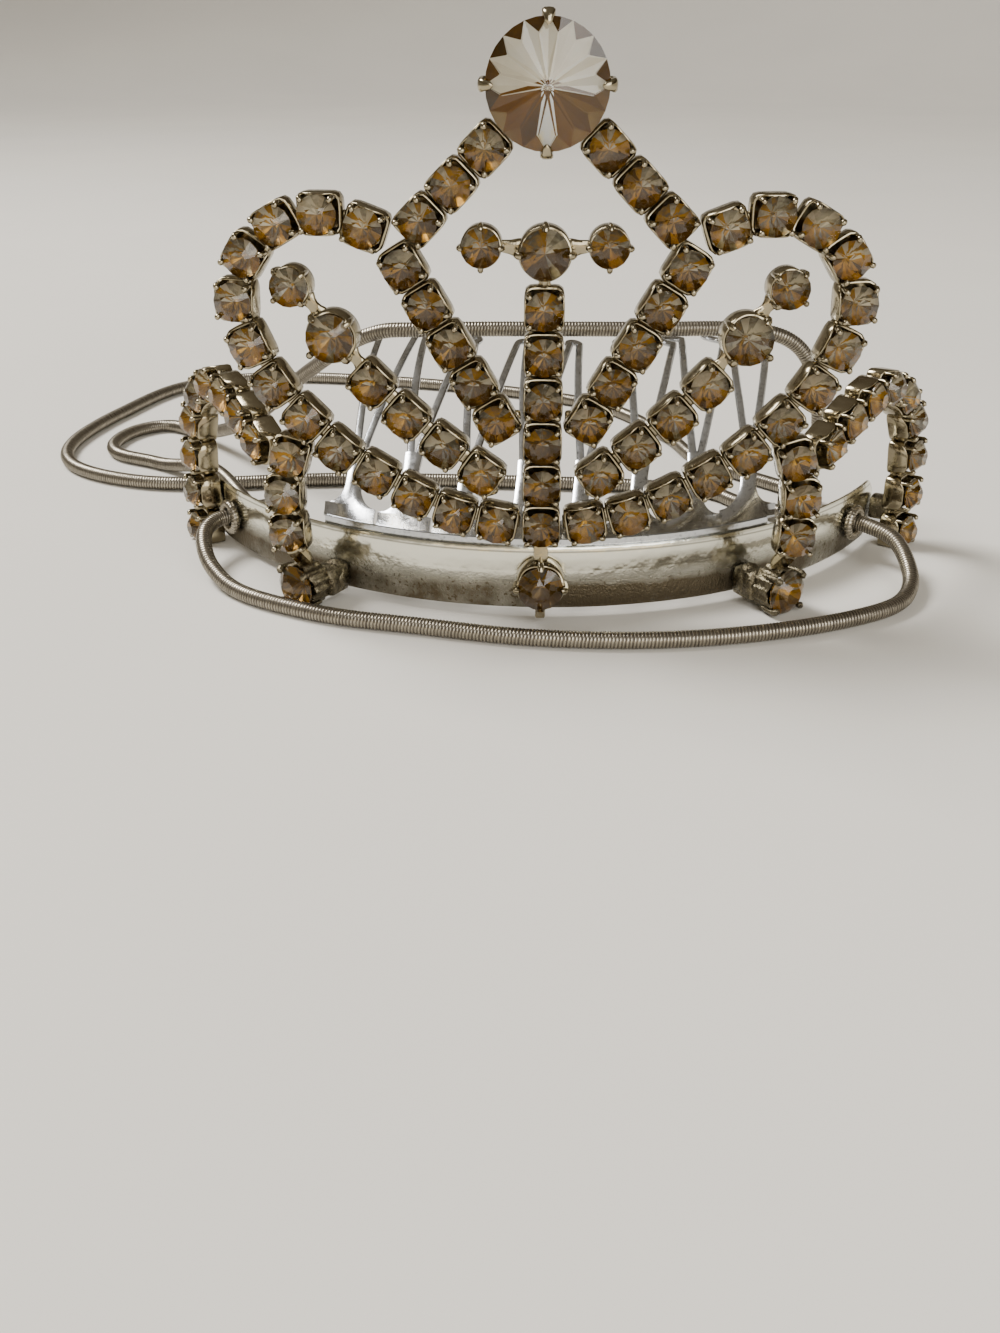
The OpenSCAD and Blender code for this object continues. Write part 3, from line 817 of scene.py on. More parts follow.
FINISHES = {"cup": ("plated_cups", cup_metal), "solder": ("crumpled_solder", solder_metal),
            "band": ("grainy_band", band_metal), "comb": ("speckled_comb", comb_metal),
            "cord": ("wound_wire", cord_metal), "glass": ("clear_glass", stone_glass),
            "foil": ("mirror_foil", stone_foil), "satin": ("satin_foil", main_foil)}


def material(key):
    """A finish's material by its key, made when it is first asked for."""
    name, make = FINISHES[key]
    return bpy.data.materials.get(name) or make()


# ---------------------------------------------------------------- cups and stones

def hollow(c, s, outline, rim, depth, wall):
    """A cup from its back at z = -depth up its outside, over its rim and down to its floor.

    Outline and rim are its radius and height at each angle, of cosine c and sine s.
    """
    inside = outline - wall
    soft, floor = 0.07 * MM, 0.5 * MM
    rows = [(outline - 3 * soft, -depth), (outline - soft, soft - depth),
            (outline, 3 * soft - depth), (outline, rim - soft), (outline - soft, rim),
            (inside + soft * 0.5, rim), (inside, rim - soft), (inside * 0.97, rim - 0.25 * depth),
            (inside * 0.85, floor - depth)]
    rings = np.stack([np.stack([c * r, s * r, np.broadcast_to(z, c.shape)], -1) for r, z in rows])
    return loft(rings)


def cup_shape(width, depth, wall):
    """A folded cup with two flat side plates along the chain, open in front.

    Its outline is |x / 1.1|^6 + |y|^6 = (width/2)^6. The side plates are nearly full height, the
    rim dips at the corners under the claws, and falls by a third over the ends.
    """
    a = 2 * np.pi * np.arange(32) / 32
    c, s = np.cos(a), np.sin(a)
    outline = width / 2 / (np.abs(c / 1.1) ** 6 + np.abs(s) ** 6) ** (1 / 6)
    corner = smoothstep(1 - np.abs(np.abs(c) - np.abs(s)) / 0.42)
    end = smoothstep((np.abs(c) - 0.7) / 0.2)
    rim = -depth * (0.08 + 0.2 * corner + 0.28 * end)
    return hollow(c, s, outline, rim, depth, wall)


def turned_cup(width, depth, wall, flutes=0):
    """A round cup: a circle of radius width/2, with flutes 9% deep where it has them.

    Its rim falls by an eighth of the depth, as (1 - cos 4a) / 2, half-way between the claws.
    """
    a = 2 * np.pi * np.arange(84) / 84
    c, s = np.cos(a), np.sin(a)
    outline = width / 2 * (1 - (0.09 if flutes else 0) * (1 + np.cos(flutes * a)) / 2)
    rim = -depth * (0.05 + 0.13 * (1 - np.cos(4 * a)) / 2)
    return hollow(c, s, outline, rim, depth, wall)


def prong_shape(width, depth, turned=False):
    """A claw: a rod that stands outside a cup and leans in over its stone, ending in a bead.

    It stands at a corner, or on the chain's line where the cup is turned.
    """
    reach = width * (0.93 if turned else 1.0)
    r = reach * np.array([0.545, 0.562, 0.568, 0.565, 0.535, 0.49, 0.455])
    z = np.array([-0.6 * depth, -0.3 * depth, -0.03 * width, 0.05 * width, 0.1 * width,
                  0.112 * width, 0.09 * width])
    radius = width * np.array([0.04, 0.058, 0.06, 0.066, 0.076, 0.074, 0.035])
    a = 0 if turned else math.pi / 4
    path = r[:, None] * np.array([math.cos(a), math.sin(a), 0]) + z[:, None] * UP
    return tube(path, radius, np.array([-math.sin(a), math.cos(a), 0]), 8)


def four(patch):
    """A patch and its copies at three more quarter turns."""
    points, faces = patch
    turns = [np.array([[c, s, 0], [-s, c, 0], [0, 0, 1]])
             for c, s in ((1, 0), (0, 1), (-1, 0), (0, -1))]
    copies = np.concatenate([points @ t for t in turns])
    n = len(points)
    return copies, [np.concatenate([group + i * n for i in range(4)]) for group in faces]


def size_of(big):
    """Width, depth and stone diameter of a kind of cup."""
    cup = settings().cup
    if big:
        return cup.big_width, cup.big_depth, cup.big_bore
    return cup.small_width, cup.small_depth, cup.small_bore


def add_cups(piece, seats, big=False, turned=False, flutes=0, metal=CUP):
    """Cups with their claws at seats; big cups are always turned."""
    width, depth, _ = size_of(big)
    wall = settings().cup.wall
    turned = turned or big
    shape = turned_cup(width, depth, wall, flutes) if turned else cup_shape(width, depth, wall)
    piece.add_at(shape, seats, metal)
    piece.add_at(four(prong_shape(width, depth, turned)), seats, metal)


def add_link(piece, a, b, out, waist=0.0):
    """A flat link behind the cups, from a to b."""
    cup = settings().cup
    along = unit(b - a)
    out = unit(out - along * (out @ along))
    back = -out * (cup.small_depth - LINK_INSET)
    width = cup.link * (1.35 if waist else 1.0)
    piece.add(bar(a + back, b + back, width, LINK_THICKNESS, out, waist))


def add_run(piece, seats, big=(), turned=()):
    """A chain of cups at seats, each linked to the next; big and turned hold numbers of cups.

    A link at a turned cup has a waist.
    """
    number = np.arange(len(seats))
    large = np.isin(number, big)
    round_one = large | np.isin(number, turned)
    for chosen in (~round_one, round_one & ~large, large):
        if chosen.any():
            add_cups(piece, seats[chosen], large[chosen][0], round_one[chosen][0])
    for i in range(len(seats) - 1):
        a, b = seats[i], seats[i + 1]
        d = unit(b[0] - a[0])
        waist = WAIST if round_one[i] or round_one[i + 1] else 0.0
        add_link(piece, a[0] + d * (size_of(large[i])[0] / 2 - LINK_LAP),
                 b[0] - d * (size_of(large[i + 1])[0] / 2 - LINK_LAP), a[2] + b[2], waist)


def run_piece(seats, big=(), turned=()):
    """A piece that holds one chain of cups."""
    piece = Piece()
    add_run(piece, seats, big, turned)
    return piece


def halves(k, inner, outer):
    """The two facets between each of the inner corners and the three outer ones beside it."""
    n = (k + 1) % len(k)
    return np.concatenate([np.stack([inner + k, outer + 2 * k, outer + 2 * k + 1], 1),
                           np.stack([inner + k, outer + 2 * k + 1, outer + 2 * n], 1)])


def belt(high, low, count):
    """The girdle's quads between two circles of corners."""
    j = np.arange(count)
    k = (j + 1) % count
    return np.stack([high + j, low + j, low + k, high + k], 1)


def stone_shape(diameter, crown, back, girdle):
    """A round brilliant: crown in front and a pointed back, its girdle from z = 0 to z = girdle.

    Its corners are the table's 8, 8 half-way down and 16 on each edge of the girdle. Sixteen
    facets behind meet in a point. Returns the points, the glass faces and the foil faces.
    """
    radius = diameter / 2
    middle = radius * (0.45 + TABLE * 0.55)
    points = np.concatenate([circle(radius * TABLE, girdle + crown, 8),
                             circle(middle, girdle + crown * 0.55, 8, 0.5),
                             circle(radius, girdle, 16), circle(radius, 0, 16),
                             [[0, 0, -back]]])
    k = np.arange(8)
    n = (k + 1) % 8
    m, g, h, culet = 8, 16, 32, 48
    table_face = k[None]
    stars = np.stack([n, k, m + k], 1)
    kites = np.stack([k, m + (k - 1) % 8, g + 2 * k, m + k], 1)
    j = np.arange(16)
    mains = np.stack([h + j, np.full(16, culet), h + (j + 1) % 16], 1)
    glass = [table_face, np.concatenate([stars, halves(k, m, g)]),
             np.concatenate([kites, belt(g, h, 16)])]
    return points, *outwards(points, glass, [mains])


def add_stones(piece, seats, shape, seed, light):
    """Stones at seats, each turned and tilted a little.

    A foil facet's tint is 0.74 in the upper half of its stone and 0.25 in the lower one, a painted
    reflection, plus and less 0.15 by turns, plus light, which is painted shade where it is below
    nought, and noise. High runs from 0 at a stone's lowest edge to 1 at its highest.
    """
    rng = np.random.default_rng(seed)
    points, glass, foil = shape
    angle = rng.uniform(0, np.pi / 4, len(seats))[:, None]
    middle, x, z = seats[:, 0] + STONE_LIFT * seats[:, 2], seats[:, 1], seats[:, 2]
    y = np.cross(z, x)
    wobble = rng.normal(0, 0.035, (len(seats), 2))
    z = unit(z + x * wobble[:, :1] + y * wobble[:, 1:])
    x = unit(x * np.cos(angle) + y * np.sin(angle))
    x = unit(x - z * np.einsum("ij,ij->i", x, z)[:, None])
    turned = np.stack([middle, x, z], 1)
    frames = np.stack([x, np.cross(z, x), z], 1)
    spot = points[foil[0]].mean(1)
    reach = np.linalg.norm(points[:, :2], axis=1).max()
    high = np.einsum("nk,skj->snj", spot, frames)[..., 2] / reach
    stripe = 0.15 * (-1.0) ** np.arange(high.shape[1])
    # Painted reflection: pale foil in each stone's upper half, brown in its lower half
    tints = np.where(high > 0.1, 0.74, 0.25) + light + stripe + rng.normal(0, 0.17, high.shape)
    piece.add_at((points, glass + foil), turned)
    # High carries the glass's painted warm reflection towards each stone's lowest edge
    piece.high[-1] = 0.5 + np.einsum("nk,skj->snj", points, frames)[..., 2].ravel() / reach / 2
    counts = [len(f) for f in glass + foil]
    del piece.finish[-len(counts):], piece.tint[-len(counts):]
    for number, count in enumerate(counts):
        behind = number == len(counts) - 1
        piece.finish.append(np.full(count * len(seats), FOIL if behind else GLASS))
        piece.tint.append(np.clip(tints, 0, 1).ravel() if behind else np.zeros(count * len(seats)))


def put_stones(name, shape, seats, seed, light, *replaced):
    """Stones of one shape, as a piece of their own; light makes their facets paler, and below
    nought it darkens them with painted shade.
    """
    piece = Piece()
    add_stones(piece, seats, shape, seed, light)
    piece.put(name, [material("glass"), material("foil")], "stone_glass", *replaced, sharp=0)


def small_stones(name, seats, seed, light=0.0):
    """The small stones of one run."""
    put_stones("stones_" + name, stone_shape(settings().cup.small_bore, **SMALL_CUT), seats, seed,
               light)


def big_stone(name, seats, seed, light=0.0):
    """One big stone in place of its CAD node."""
    put_stones(name + "_glass", stone_shape(settings().cup.big_bore, **BIG_CUT), seats, seed,
               light, name)


def metal_piece(piece, name):
    """Puts a cup-chain piece in place of its CAD node."""
    piece.put(name + "_cups", [material("cup"), material("solder")], "cup_metal", name, sharp=62)


# ---------------------------------------------------------------- operators

class TIARA_OT_camera(bpy.types.Operator):
    """Places the camera at the photograph's angle."""
    bl_idname = "tiara.place_camera"
    bl_label = "Camera"

    def execute(self, context):
        lens = bpy.data.cameras.new("camera")
        lens.lens, lens.sensor_width = CAMERA_LENS, 36
        lens.clip_start, lens.clip_end = 0.01, 20
        camera = new_object("camera", lens)
        camera.location = [v * MM for v in CAMERA_PLACE]
        camera.rotation_euler = [math.radians(v) for v in CAMERA_TURN]
        context.scene.camera = camera
        return {"FINISHED"}


def cord_line(points, first, last, ends):
    """A run's points in metres, with the two points on each bore's axis at its ends."""
    z = bore_height()
    radii = [settings().band.radius + r * MM for r in ends]
    start = [arc_middle(z) + bore_axis(first) * r for r in radii]
    end = [arc_middle(z) + bore_axis(last) * r for r in radii[::-1]]
    route = np.array(points) * MM + [MID_X, FRONT_Y, 0]
    return np.concatenate([start, route, end])


def wound_tube(name, route):
    """A cord along a route, wound with wire.

    Round its line, the radius is R - groove * (1 - cos(2 pi (s / rib + a / 2 pi))) / 2 at the
    distance s and the angle a, so the turns climb as a screw does.
    """
    cord = settings().cord
    line = catmull(route, 16)
    line[:, 2] = np.maximum(line[:, 2], cord.diameter / 2)
    sums = running(line)
    s = np.arange(0, sums[-1], cord.rib / 4)
    s = np.append(s[:-1], sums[-1])
    centre = at_distance(line, sums, s)
    tangent = unit(np.gradient(centre, axis=0))
    x = unit(np.cross(UP, tangent))
    y = np.cross(tangent, x)
    sides = 12
    part = np.arange(sides) / sides
    deep = (1 - np.cos(2 * np.pi * (s[:, None] / cord.rib + part))) / 2
    radius = (cord.diameter / 2 - cord.groove * deep)[..., None]
    a = 2 * np.pi * part[None, :, None]
    rings = centre[:, None] + radius * (x[:, None] * np.cos(a) + y[:, None] * np.sin(a))
    piece = Piece()
    piece.add(loft(rings))
    made = piece.put(name + "_wound", [material("cord")], "cord_metal", name, sharp=80)
    mesh = made.data
    # The groove attribute carries painted shade: the cord's colour darkens with each groove's depth
    mark(mesh, "groove", "POINT", np.append(deep.ravel(), [0.5, 0.5]))
    corner = np.empty(len(mesh.loops), np.int32)
    mesh.loops.foreach_get("vertex_index", corner)
    along = np.append(np.repeat(s / cord.rib, sides), [0, s[-1] / cord.rib])
    round_it = np.append(np.tile(part, len(s)), [0, 0])
    places = np.stack([along[corner], round_it[corner]], -1)
    mesh.uv_layers.new(name="wound").data.foreach_set("uv", places.astype(np.float32).ravel())
    path = at_distance(line, sums, np.linspace(0, sums[-1], 8 * len(route)))
    return made, path, sums[-1]


class TIARA_OT_cords(bpy.types.Operator):
    """Makes the elastic cord's two runs and the knots that stop it outside the band."""
    bl_idname = "tiara.make_cords"
    bl_label = "Cord"

    def execute(self, context):
        knots = [self.knot(name, side) for name, side in SIDES.items()]
        self.run("cord_front", cord_line(CORD_FRONT, LEFT, RIGHT, CORD_FRONT_ENDS), knots)
        self.run("cord_rear", cord_line(CORD_REAR, RIGHT, LEFT, CORD_REAR_ENDS), [])
        return {"FINISHED"}

    def run(self, name, route, knots):
        """Makes one run along its route."""
        made, path, reach = wound_tube(name, route)

    def knot(self, name, side):
        """A ring of cord round a bore's axis: a torus at A + b cos v from the axis.

        Its ribs are b = b0 (1 - 0.035 (1 - cos(26 u + v))).
        """
        cord, band = settings().cord, settings().band
        steps, sides, ribs = 130, 12, 26
        minor = 0.55 * MM
        major = cord.diameter / 2 + CLEARANCE + minor
        u = np.linspace(0, 2 * np.pi, steps, endpoint=False)[:, None]
        v = np.linspace(0, 2 * np.pi, sides, endpoint=False)[None]
        rib = 1 - np.cos(ribs * u + v)
        b = minor * (1 - 0.035 * rib)
        axis = bore_axis(side)
        across = np.cross(UP, axis)
        centre = arc_middle(bore_height()) + axis * (band.radius + CLEARANCE + minor)
        flat = major + b * np.cos(v)
        rings = (centre + (flat * np.cos(u))[..., None] * across
                 + (flat * np.sin(u))[..., None] * UP + (b * np.sin(v))[..., None] * axis)
        row, j = np.arange(steps)[:, None] * sides, np.arange(sides)[None]
        ahead, k = (row + sides) % (steps * sides), (j + 1) % sides
        quads = np.stack([row + j, ahead + j, ahead + k, row + k], -1).reshape(-1, 4)
        points = rings.reshape(-1, 3)
        piece = Piece()
        piece.add((points, outwards(points, [quads])[0]))
        node = "knot_" + name
        made = piece.put(node + "_ring", [material("cord")], "cord_metal", node, sharp=80)
        # The same painted shade darkens the knot between its ribs
        mark(made.data, "groove", "POINT", 0.3 * rib)
        # The cord's finish asks for this layer
        made.data.uv_layers.new(name="wound")
        return made


class TIARA_OT_band(bpy.types.Operator):
    """Makes the curved band with its rounded ends and its two bores."""
    bl_idname = "tiara.make_band"
    bl_label = "Band"

    def execute(self, context):
        """A rounded strip on the arc.

        Its radius waves by 0.014 mm (sin 420 s + sin(910 s + 2) / 2) at s metres along the arc.
        Near an end its half height is sqrt(e^2 - x^2), where x is the distance past the middle of
        the end's circle of radius e.
        """
        band = settings().band
        end = band.height / 2 + 0.4 * MM
        half = band.half_turn * band.radius
        near = end - end * np.cos(np.linspace(0, np.pi / 2, 14))
        s = np.concatenate([near - half, np.linspace(end - half, half - end, 180)[1:-1],
                            half - near[::-1]])
        past = np.clip(np.abs(s) - (half - end), 0, end * 0.999)
        half_h = np.minimum(band.height / 2, np.sqrt(end ** 2 - past ** 2))
        a = s / band.radius
        out = facing(a)
        wave = 0.014 * MM * (np.sin(s * 420) + np.sin(s * 910 + 2) * 0.5)
        radius = band.radius - band.thickness / 2 - 0.03 * MM + wave
        path = arc_middle(bore_height()) + out * radius[:, None]
        piece = Piece()
        piece.add(sweep(path, UP, out, half_h, band.thickness / 2, 7.0, 20))
        made = piece.put("band_strip", [material("band")], "band_metal", "band")
        for side in (LEFT, RIGHT):
            self.bore(made, side)
        return {"FINISHED"}

    def bore(self, made, side):
        """Cuts one bore with a rod along its axis."""
        band = settings().band
        axis = bore_axis(side)
        middle = arc_middle(bore_height()) + axis * band.radius
        path = middle + axis * np.array([-2 * MM, 2 * MM])[:, None]
        a = 2 * np.pi * np.arange(40) / 40
        across = np.cross(UP, axis)
        ring = band.bore / 2 * (np.cos(a)[:, None] * across + np.sin(a)[:, None] * UP)
        points, faces = loft(path[:, None] + ring)
        mesh = bpy.data.meshes.new("cutter")
        mesh.from_pydata(points.tolist(), [], [f for group in faces for f in group.tolist()])
        cutter = new_object("cutter", mesh)
        cut = made.modifiers.new("bore", "BOOLEAN")
        cut.object, cut.operation, cut.solver = cutter, "DIFFERENCE", "EXACT"
        graph = bpy.context.evaluated_depsgraph_get()
        result = bpy.data.meshes.new_from_object(made.evaluated_get(graph))
        made.modifiers.clear()
        made.data = result
        bpy.data.objects.remove(cutter)
        result.set_sharp_from_angle(angle=math.radians(35))


class TIARA_OT_comb(bpy.types.Operator):
    """Makes the comb: a plate, eight stems, seven closed loops and two outer prongs."""
    bl_idname = "tiara.make_comb"
    bl_label = "Comb"

    def execute(self, context):
        self.prepare()
        piece = Piece()
        self.plate(piece)
        for x in self.stems:
            self.stem(piece, x)
        for a, b in zip(self.stems[:-1], self.stems[1:]):
            self.loop(piece, a, b)
        self.outer(piece, self.stems[0], LEFT)
        self.outer(piece, self.stems[-1], RIGHT)
        piece.put("comb_teeth", [material("comb")], "comb_metal", "comb")
        return {"FINISHED"}

    def prepare(self):
        """Places that the comb's parts share: the teeth's arc in side view and their roots."""
        comb, band = settings().comb, settings().band
        self.root_z = band.lift + band.height + 0.4 * MM
        self.slope = math.atan2(comb.rise, comb.reach)
        chord = math.hypot(comb.reach, comb.rise)
        sag = 2.5 * MM
        self.radius = chord ** 2 / (8 * sag) + sag / 2
        self.half = math.asin(chord / 2 / self.radius)
        self.middle = np.array([comb.reach, comb.rise]) / 2 + (self.radius - sag) * np.array(
            [math.sin(self.slope), -math.cos(self.slope)])
        self.plate_r = band.radius - band.thickness - CLEARANCE
        self.stems = [k * comb.pitch + comb.shift for k in np.arange(-3.5, 4)]
        # The part of the arc at which the prongs leave the stems
        self.split = 0.3
        c, s = math.cos(comb.skew), math.sin(comb.skew)
        self.right = np.array([c, -s, 0])
        self.back = np.array([s, c, 0])

    def root(self, x):
        """The root of the tooth at a distance x from the middle line."""
        return np.array([MID_X + x, self.root_y(x), self.root_z])

    def root_y(self, x):
        """Where the plate's inner face lies at a distance x from the middle line."""
        reach = np.sqrt((self.plate_r - settings().comb.thickness) ** 2 - x * x)
        return FRONT_Y + settings().band.radius - reach

    def on_arc(self, part):
        """Distance back and height of the teeth's arc at a part of its length, and its normal."""
        a = np.pi / 2 + self.slope + self.half * (1 - 2 * np.asarray(part))
        normal = np.stack([np.cos(a), np.sin(a)], -1)
        return self.middle + self.radius * normal, normal

    def tooth_line(self, x, part, across):
        """Points of a tooth at parts of its arc and distances across, and the sheet's normals."""
        place, normal = self.on_arc(part)
        path = (self.root(x) + self.right * np.asarray(across)[..., None]
                + self.back * place[..., :1] + UP * place[..., 1:])
        return path, self.back * normal[..., :1] + UP * normal[..., 1:]

    def plate(self, piece):
        """The curved plate behind the band, from its own lower edge to the teeth's roots."""
        comb, band = settings().comb, settings().band
        low, high = band.lift + 3 * MM, self.root_z + 0.3 * MM
        half = math.asin((3.5 * comb.pitch + 2.6 * MM) / self.plate_r)
        a = np.linspace(-half, half, 90) + math.asin(comb.shift / self.plate_r)
        out = facing(a)
        path = arc_middle((low + high) / 2) + out * (self.plate_r - comb.thickness / 2)
        piece.add(sweep(path, UP, out, (high - low) / 2, comb.thickness / 2, 6.0, 16))

    def stem(self, piece, x):
        """A stem: as wide as the pitch at its root, then narrowed by the round gaps' circles.

        Its half width is pitch / 2 - sqrt(r^2 - (y - y0)^2) as far as the circles' middles at y0.
        Near the root each point moves back or forward by the band's curve at its distance across.
        """
        comb = settings().comb
        gap_r = (comb.pitch - comb.stem) / 2
        gap_y = 3.6 * MM
        part = np.concatenate([np.linspace(0, 0.09, 22), np.linspace(0.1, self.split, 14)])
        y = self.on_arc(part)[0][:, 0]
        inside = np.clip(gap_r ** 2 - (y - gap_y) ** 2, 0, None)
        half = np.where(y < gap_y, comb.pitch / 2 - np.sqrt(inside), comb.stem / 2)
        widen = smoothstep((part - self.split + 0.07) / 0.07) * 0.12 * MM
        path, normal = self.tooth_line(x, part, np.zeros_like(part))
        points, faces = sweep(path, self.right, normal, half * 0.995 + widen, comb.thickness / 2,
                              6.0, 16)
        across, behind = (points - path[0]) @ self.right, (points - path[0]) @ self.back
        curve = self.root_y(x + across * self.right[0]) - self.root_y(x) - across * self.right[1]
        points = points + self.back * (curve * (1 - smoothstep(behind / gap_y)))[:, None]
        piece.add((points, faces))

    def prong(self, piece, path, up, half):
        """A prong of one half width, or of one at each point, along a path on the sheet."""
        thick = settings().comb.thickness * 0.42
        tangent = unit(np.gradient(path, axis=0))
        piece.add(sweep(path, unit(np.cross(up, tangent)), up, half, thick, 3.2, 10))

    def prong_line(self, x, side, part, lean):
        """A prong's line: it leaves its stem and leans over with a slight outward bow."""
        comb = settings().comb
        y = self.on_arc(part)[0][:, 0]
        start = self.on_arc(self.split)[0][0]
        bow = 0.28 * MM * np.sin(np.pi * np.clip((part - self.split) / (1 - self.split), 0, 1))
        across = (comb.stem - comb.prong) / 2 + np.clip(y - start, 0, None) * math.tan(lean) + bow
        return self.tooth_line(x, part, side * across)

    def loop(self, piece, a, b):
        """One closed loop: out along a prong, round its tip in a long half oval and back."""
        comb = settings().comb
        start, far = self.on_arc(self.split)[0][0], self.on_arc(1.0)[0][0]
        lean = math.atan((comb.pitch / 2 - comb.stem / 2 + 0.05 * MM) / (far - start) * 0.94)
        part = np.linspace(self.split - 0.05, 0.965, 30)
        left, normal = self.prong_line(a, RIGHT, part, lean)
        right, _ = self.prong_line(b, LEFT, part, lean)
        turn_r = np.linalg.norm(right[-1] - left[-1]) / 2
        centre = (left[-1] + right[-1]) / 2
        across = unit(right[-1] - left[-1])
        ahead = unit(np.cross(normal[-1], across))
        if ahead @ self.back < 0:
            ahead = -ahead
        angle = np.linspace(np.pi, 0, 11)[1:-1, None]
        tip = centre + turn_r * (across * np.cos(angle) + ahead * np.sin(angle) * 1.5)
        path = np.concatenate([left, tip, right[::-1]])
        up = np.concatenate([normal, np.repeat(normal[-1:], len(tip), 0), normal[::-1]])
        self.prong(piece, path, up, comb.prong / 2)

    def outer(self, piece, x, side):
        """A single outer prong with a rounded tip."""
        comb = settings().comb
        part = np.concatenate([np.linspace(self.split - 0.05, 0.97, 30), [0.985, 0.995, 1.0]])
        path, up = self.prong_line(x, side, part, math.radians(4))
        half = comb.prong / 2 * np.concatenate([np.ones(30), [0.9, 0.68, 0.3]])
        self.prong(piece, path, up, half)


class TIARA_OT_hearts(bpy.types.Operator):
    """Makes the hearts' outer lobes, their inner arms and the two runs of the peak."""
    bl_idname = "tiara.make_hearts"
    bl_label = "Hearts and peak"

    def execute(self, context):
        for seed, (name, side) in enumerate(SIDES.items()):
            self.from_column("heart_" + name, side, HEART_ROUTE, 13, COLUMN_LOW + 0.1, 10 + seed)
            self.from_column("arm_" + name, side, ARM_ROUTE, 5, ARM_ROUTE[0][1], 20 + seed,
                             ARM_PAINTED_SHADE)
            self.peak("peak_" + name, side, 30 + seed)
        return {"FINISHED"}

    def from_column(self, name, side, route, count, height, seed, light=0.0):
        """A run that starts with a link from the column, at a height on the panel."""
        seats = panel_run(side, route, count)
        piece = run_piece(seats)
        start = side * (settings().cup.small_width / MM / 2 + LINK_START)
        add_link(piece, panel_point(start, height), seats[0, 0], seats[0, 2])
        metal_piece(piece, name)
        small_stones(name, seats, seed, light)

    def peak(self, name, side, seed):
        """One side of the peak, linked to the main stone's ring."""
        panel = settings().panel
        seats = panel_run(side, PEAK_ROUTE, 3)
        piece = run_piece(seats)
        middle = panel_point(0, panel.stone_height / MM)
        ring = panel.stone / 2 - SETTING_LAP
        add_link(piece, seats[2, 0], middle + unit(seats[2, 0] - middle) * ring, seats[2, 2])
        metal_piece(piece, name)
        small_stones(name, seats, seed, ARM_PAINTED_SHADE)


class TIARA_OT_rays(bpy.types.Operator):
    """Makes the rays inside the hearts, each with a big cup near its tip."""
    bl_idname = "tiara.make_rays"
    bl_label = "Rays"

    def execute(self, context):
        for seed, (name, side) in enumerate(SIDES.items()):
            x = ray_stretch(side)
            low = panel_run(x, RAY_ROUTE, 4)
            tip = panel_seats(x * RAY_TIP[0], RAY_TIP[1], side, 1.2)
            seats = np.concatenate([low, ray_big_seat(side), tip])
            piece = run_piece(seats, [4], [5])
            add_link(piece, panel_point(side * RAY_ROOT[0], RAY_ROOT[1]), low[0, 0], low[0, 2])
            metal_piece(piece, "ray_" + name)
            small_stones("ray_" + name, seats[[0, 1, 2, 3, 5]], 40 + seed)
            big_stone("ray_stone_" + name, ray_big_seat(side), 50 + seed)
        return {"FINISHED"}


def add_riser(piece, low, high):
    """The wire that carries a small cup above a big one."""
    cup = settings().cup
    foot = low[0] - low[2] * 2 * MM + UP * (cup.big_width / 2 - 0.15 * MM)
    top = high[0] - high[2] * 1.4 * MM - UP * (cup.small_width / 2 - 0.3 * MM)
    piece.add(bar(foot, top, cup.link, cup.link, high[2]))


class TIARA_OT_column(bpy.types.Operator):
    """Makes the middle column with its cross and the big cup on the band's front."""
    bl_idname = "tiara.make_column"
    bl_label = "Column and cross"

    def execute(self, context):
        heights = np.linspace(COLUMN_LOW, COLUMN_HIGH, COLUMN_CUPS)
        stack = panel_seats(0, heights, 0, 1)
        piece = Piece()
        add_cups(piece, front_seat(), True)
        add_riser(piece, front_seat()[0], stack[0])
        add_run(piece, np.concatenate([stack, cross_seat()]), [COLUMN_CUPS])
        arms = np.concatenate([panel_seats(side * CROSS_ARM[0], CROSS_ARM[1], 1, 0)
                               for side in (LEFT, RIGHT)])
        add_cups(piece, arms, turned=True)
        start = (settings().cup.big_width / 2 - LINK_LAP) / MM
        for side, arm in zip((LEFT, RIGHT), arms):
            add_link(piece, panel_point(side * start, CROSS_HEIGHT + 0.2), arm[0], arm[2], WAIST)
        # The tab below the front cup
        low = front_seat()[0, 0] + [0, 0.9 * MM, 0]
        piece.add(bar(low - UP * 2.2 * MM, low - UP * 3.7 * MM, 1.1 * MM, 0.7 * MM,
                      np.array([0, -1, 0])))
        metal_piece(piece, "column")
        small_stones("column", np.concatenate([stack, arms]), 60, COLUMN_PAINTED_SHADE)
        big_stone("cross_stone", cross_seat(), 61, COLUMN_PAINTED_SHADE)
        big_stone("front_stone", front_seat(), 62, FRONT_PAINTED_SHADE)
        return {"FINISHED"}


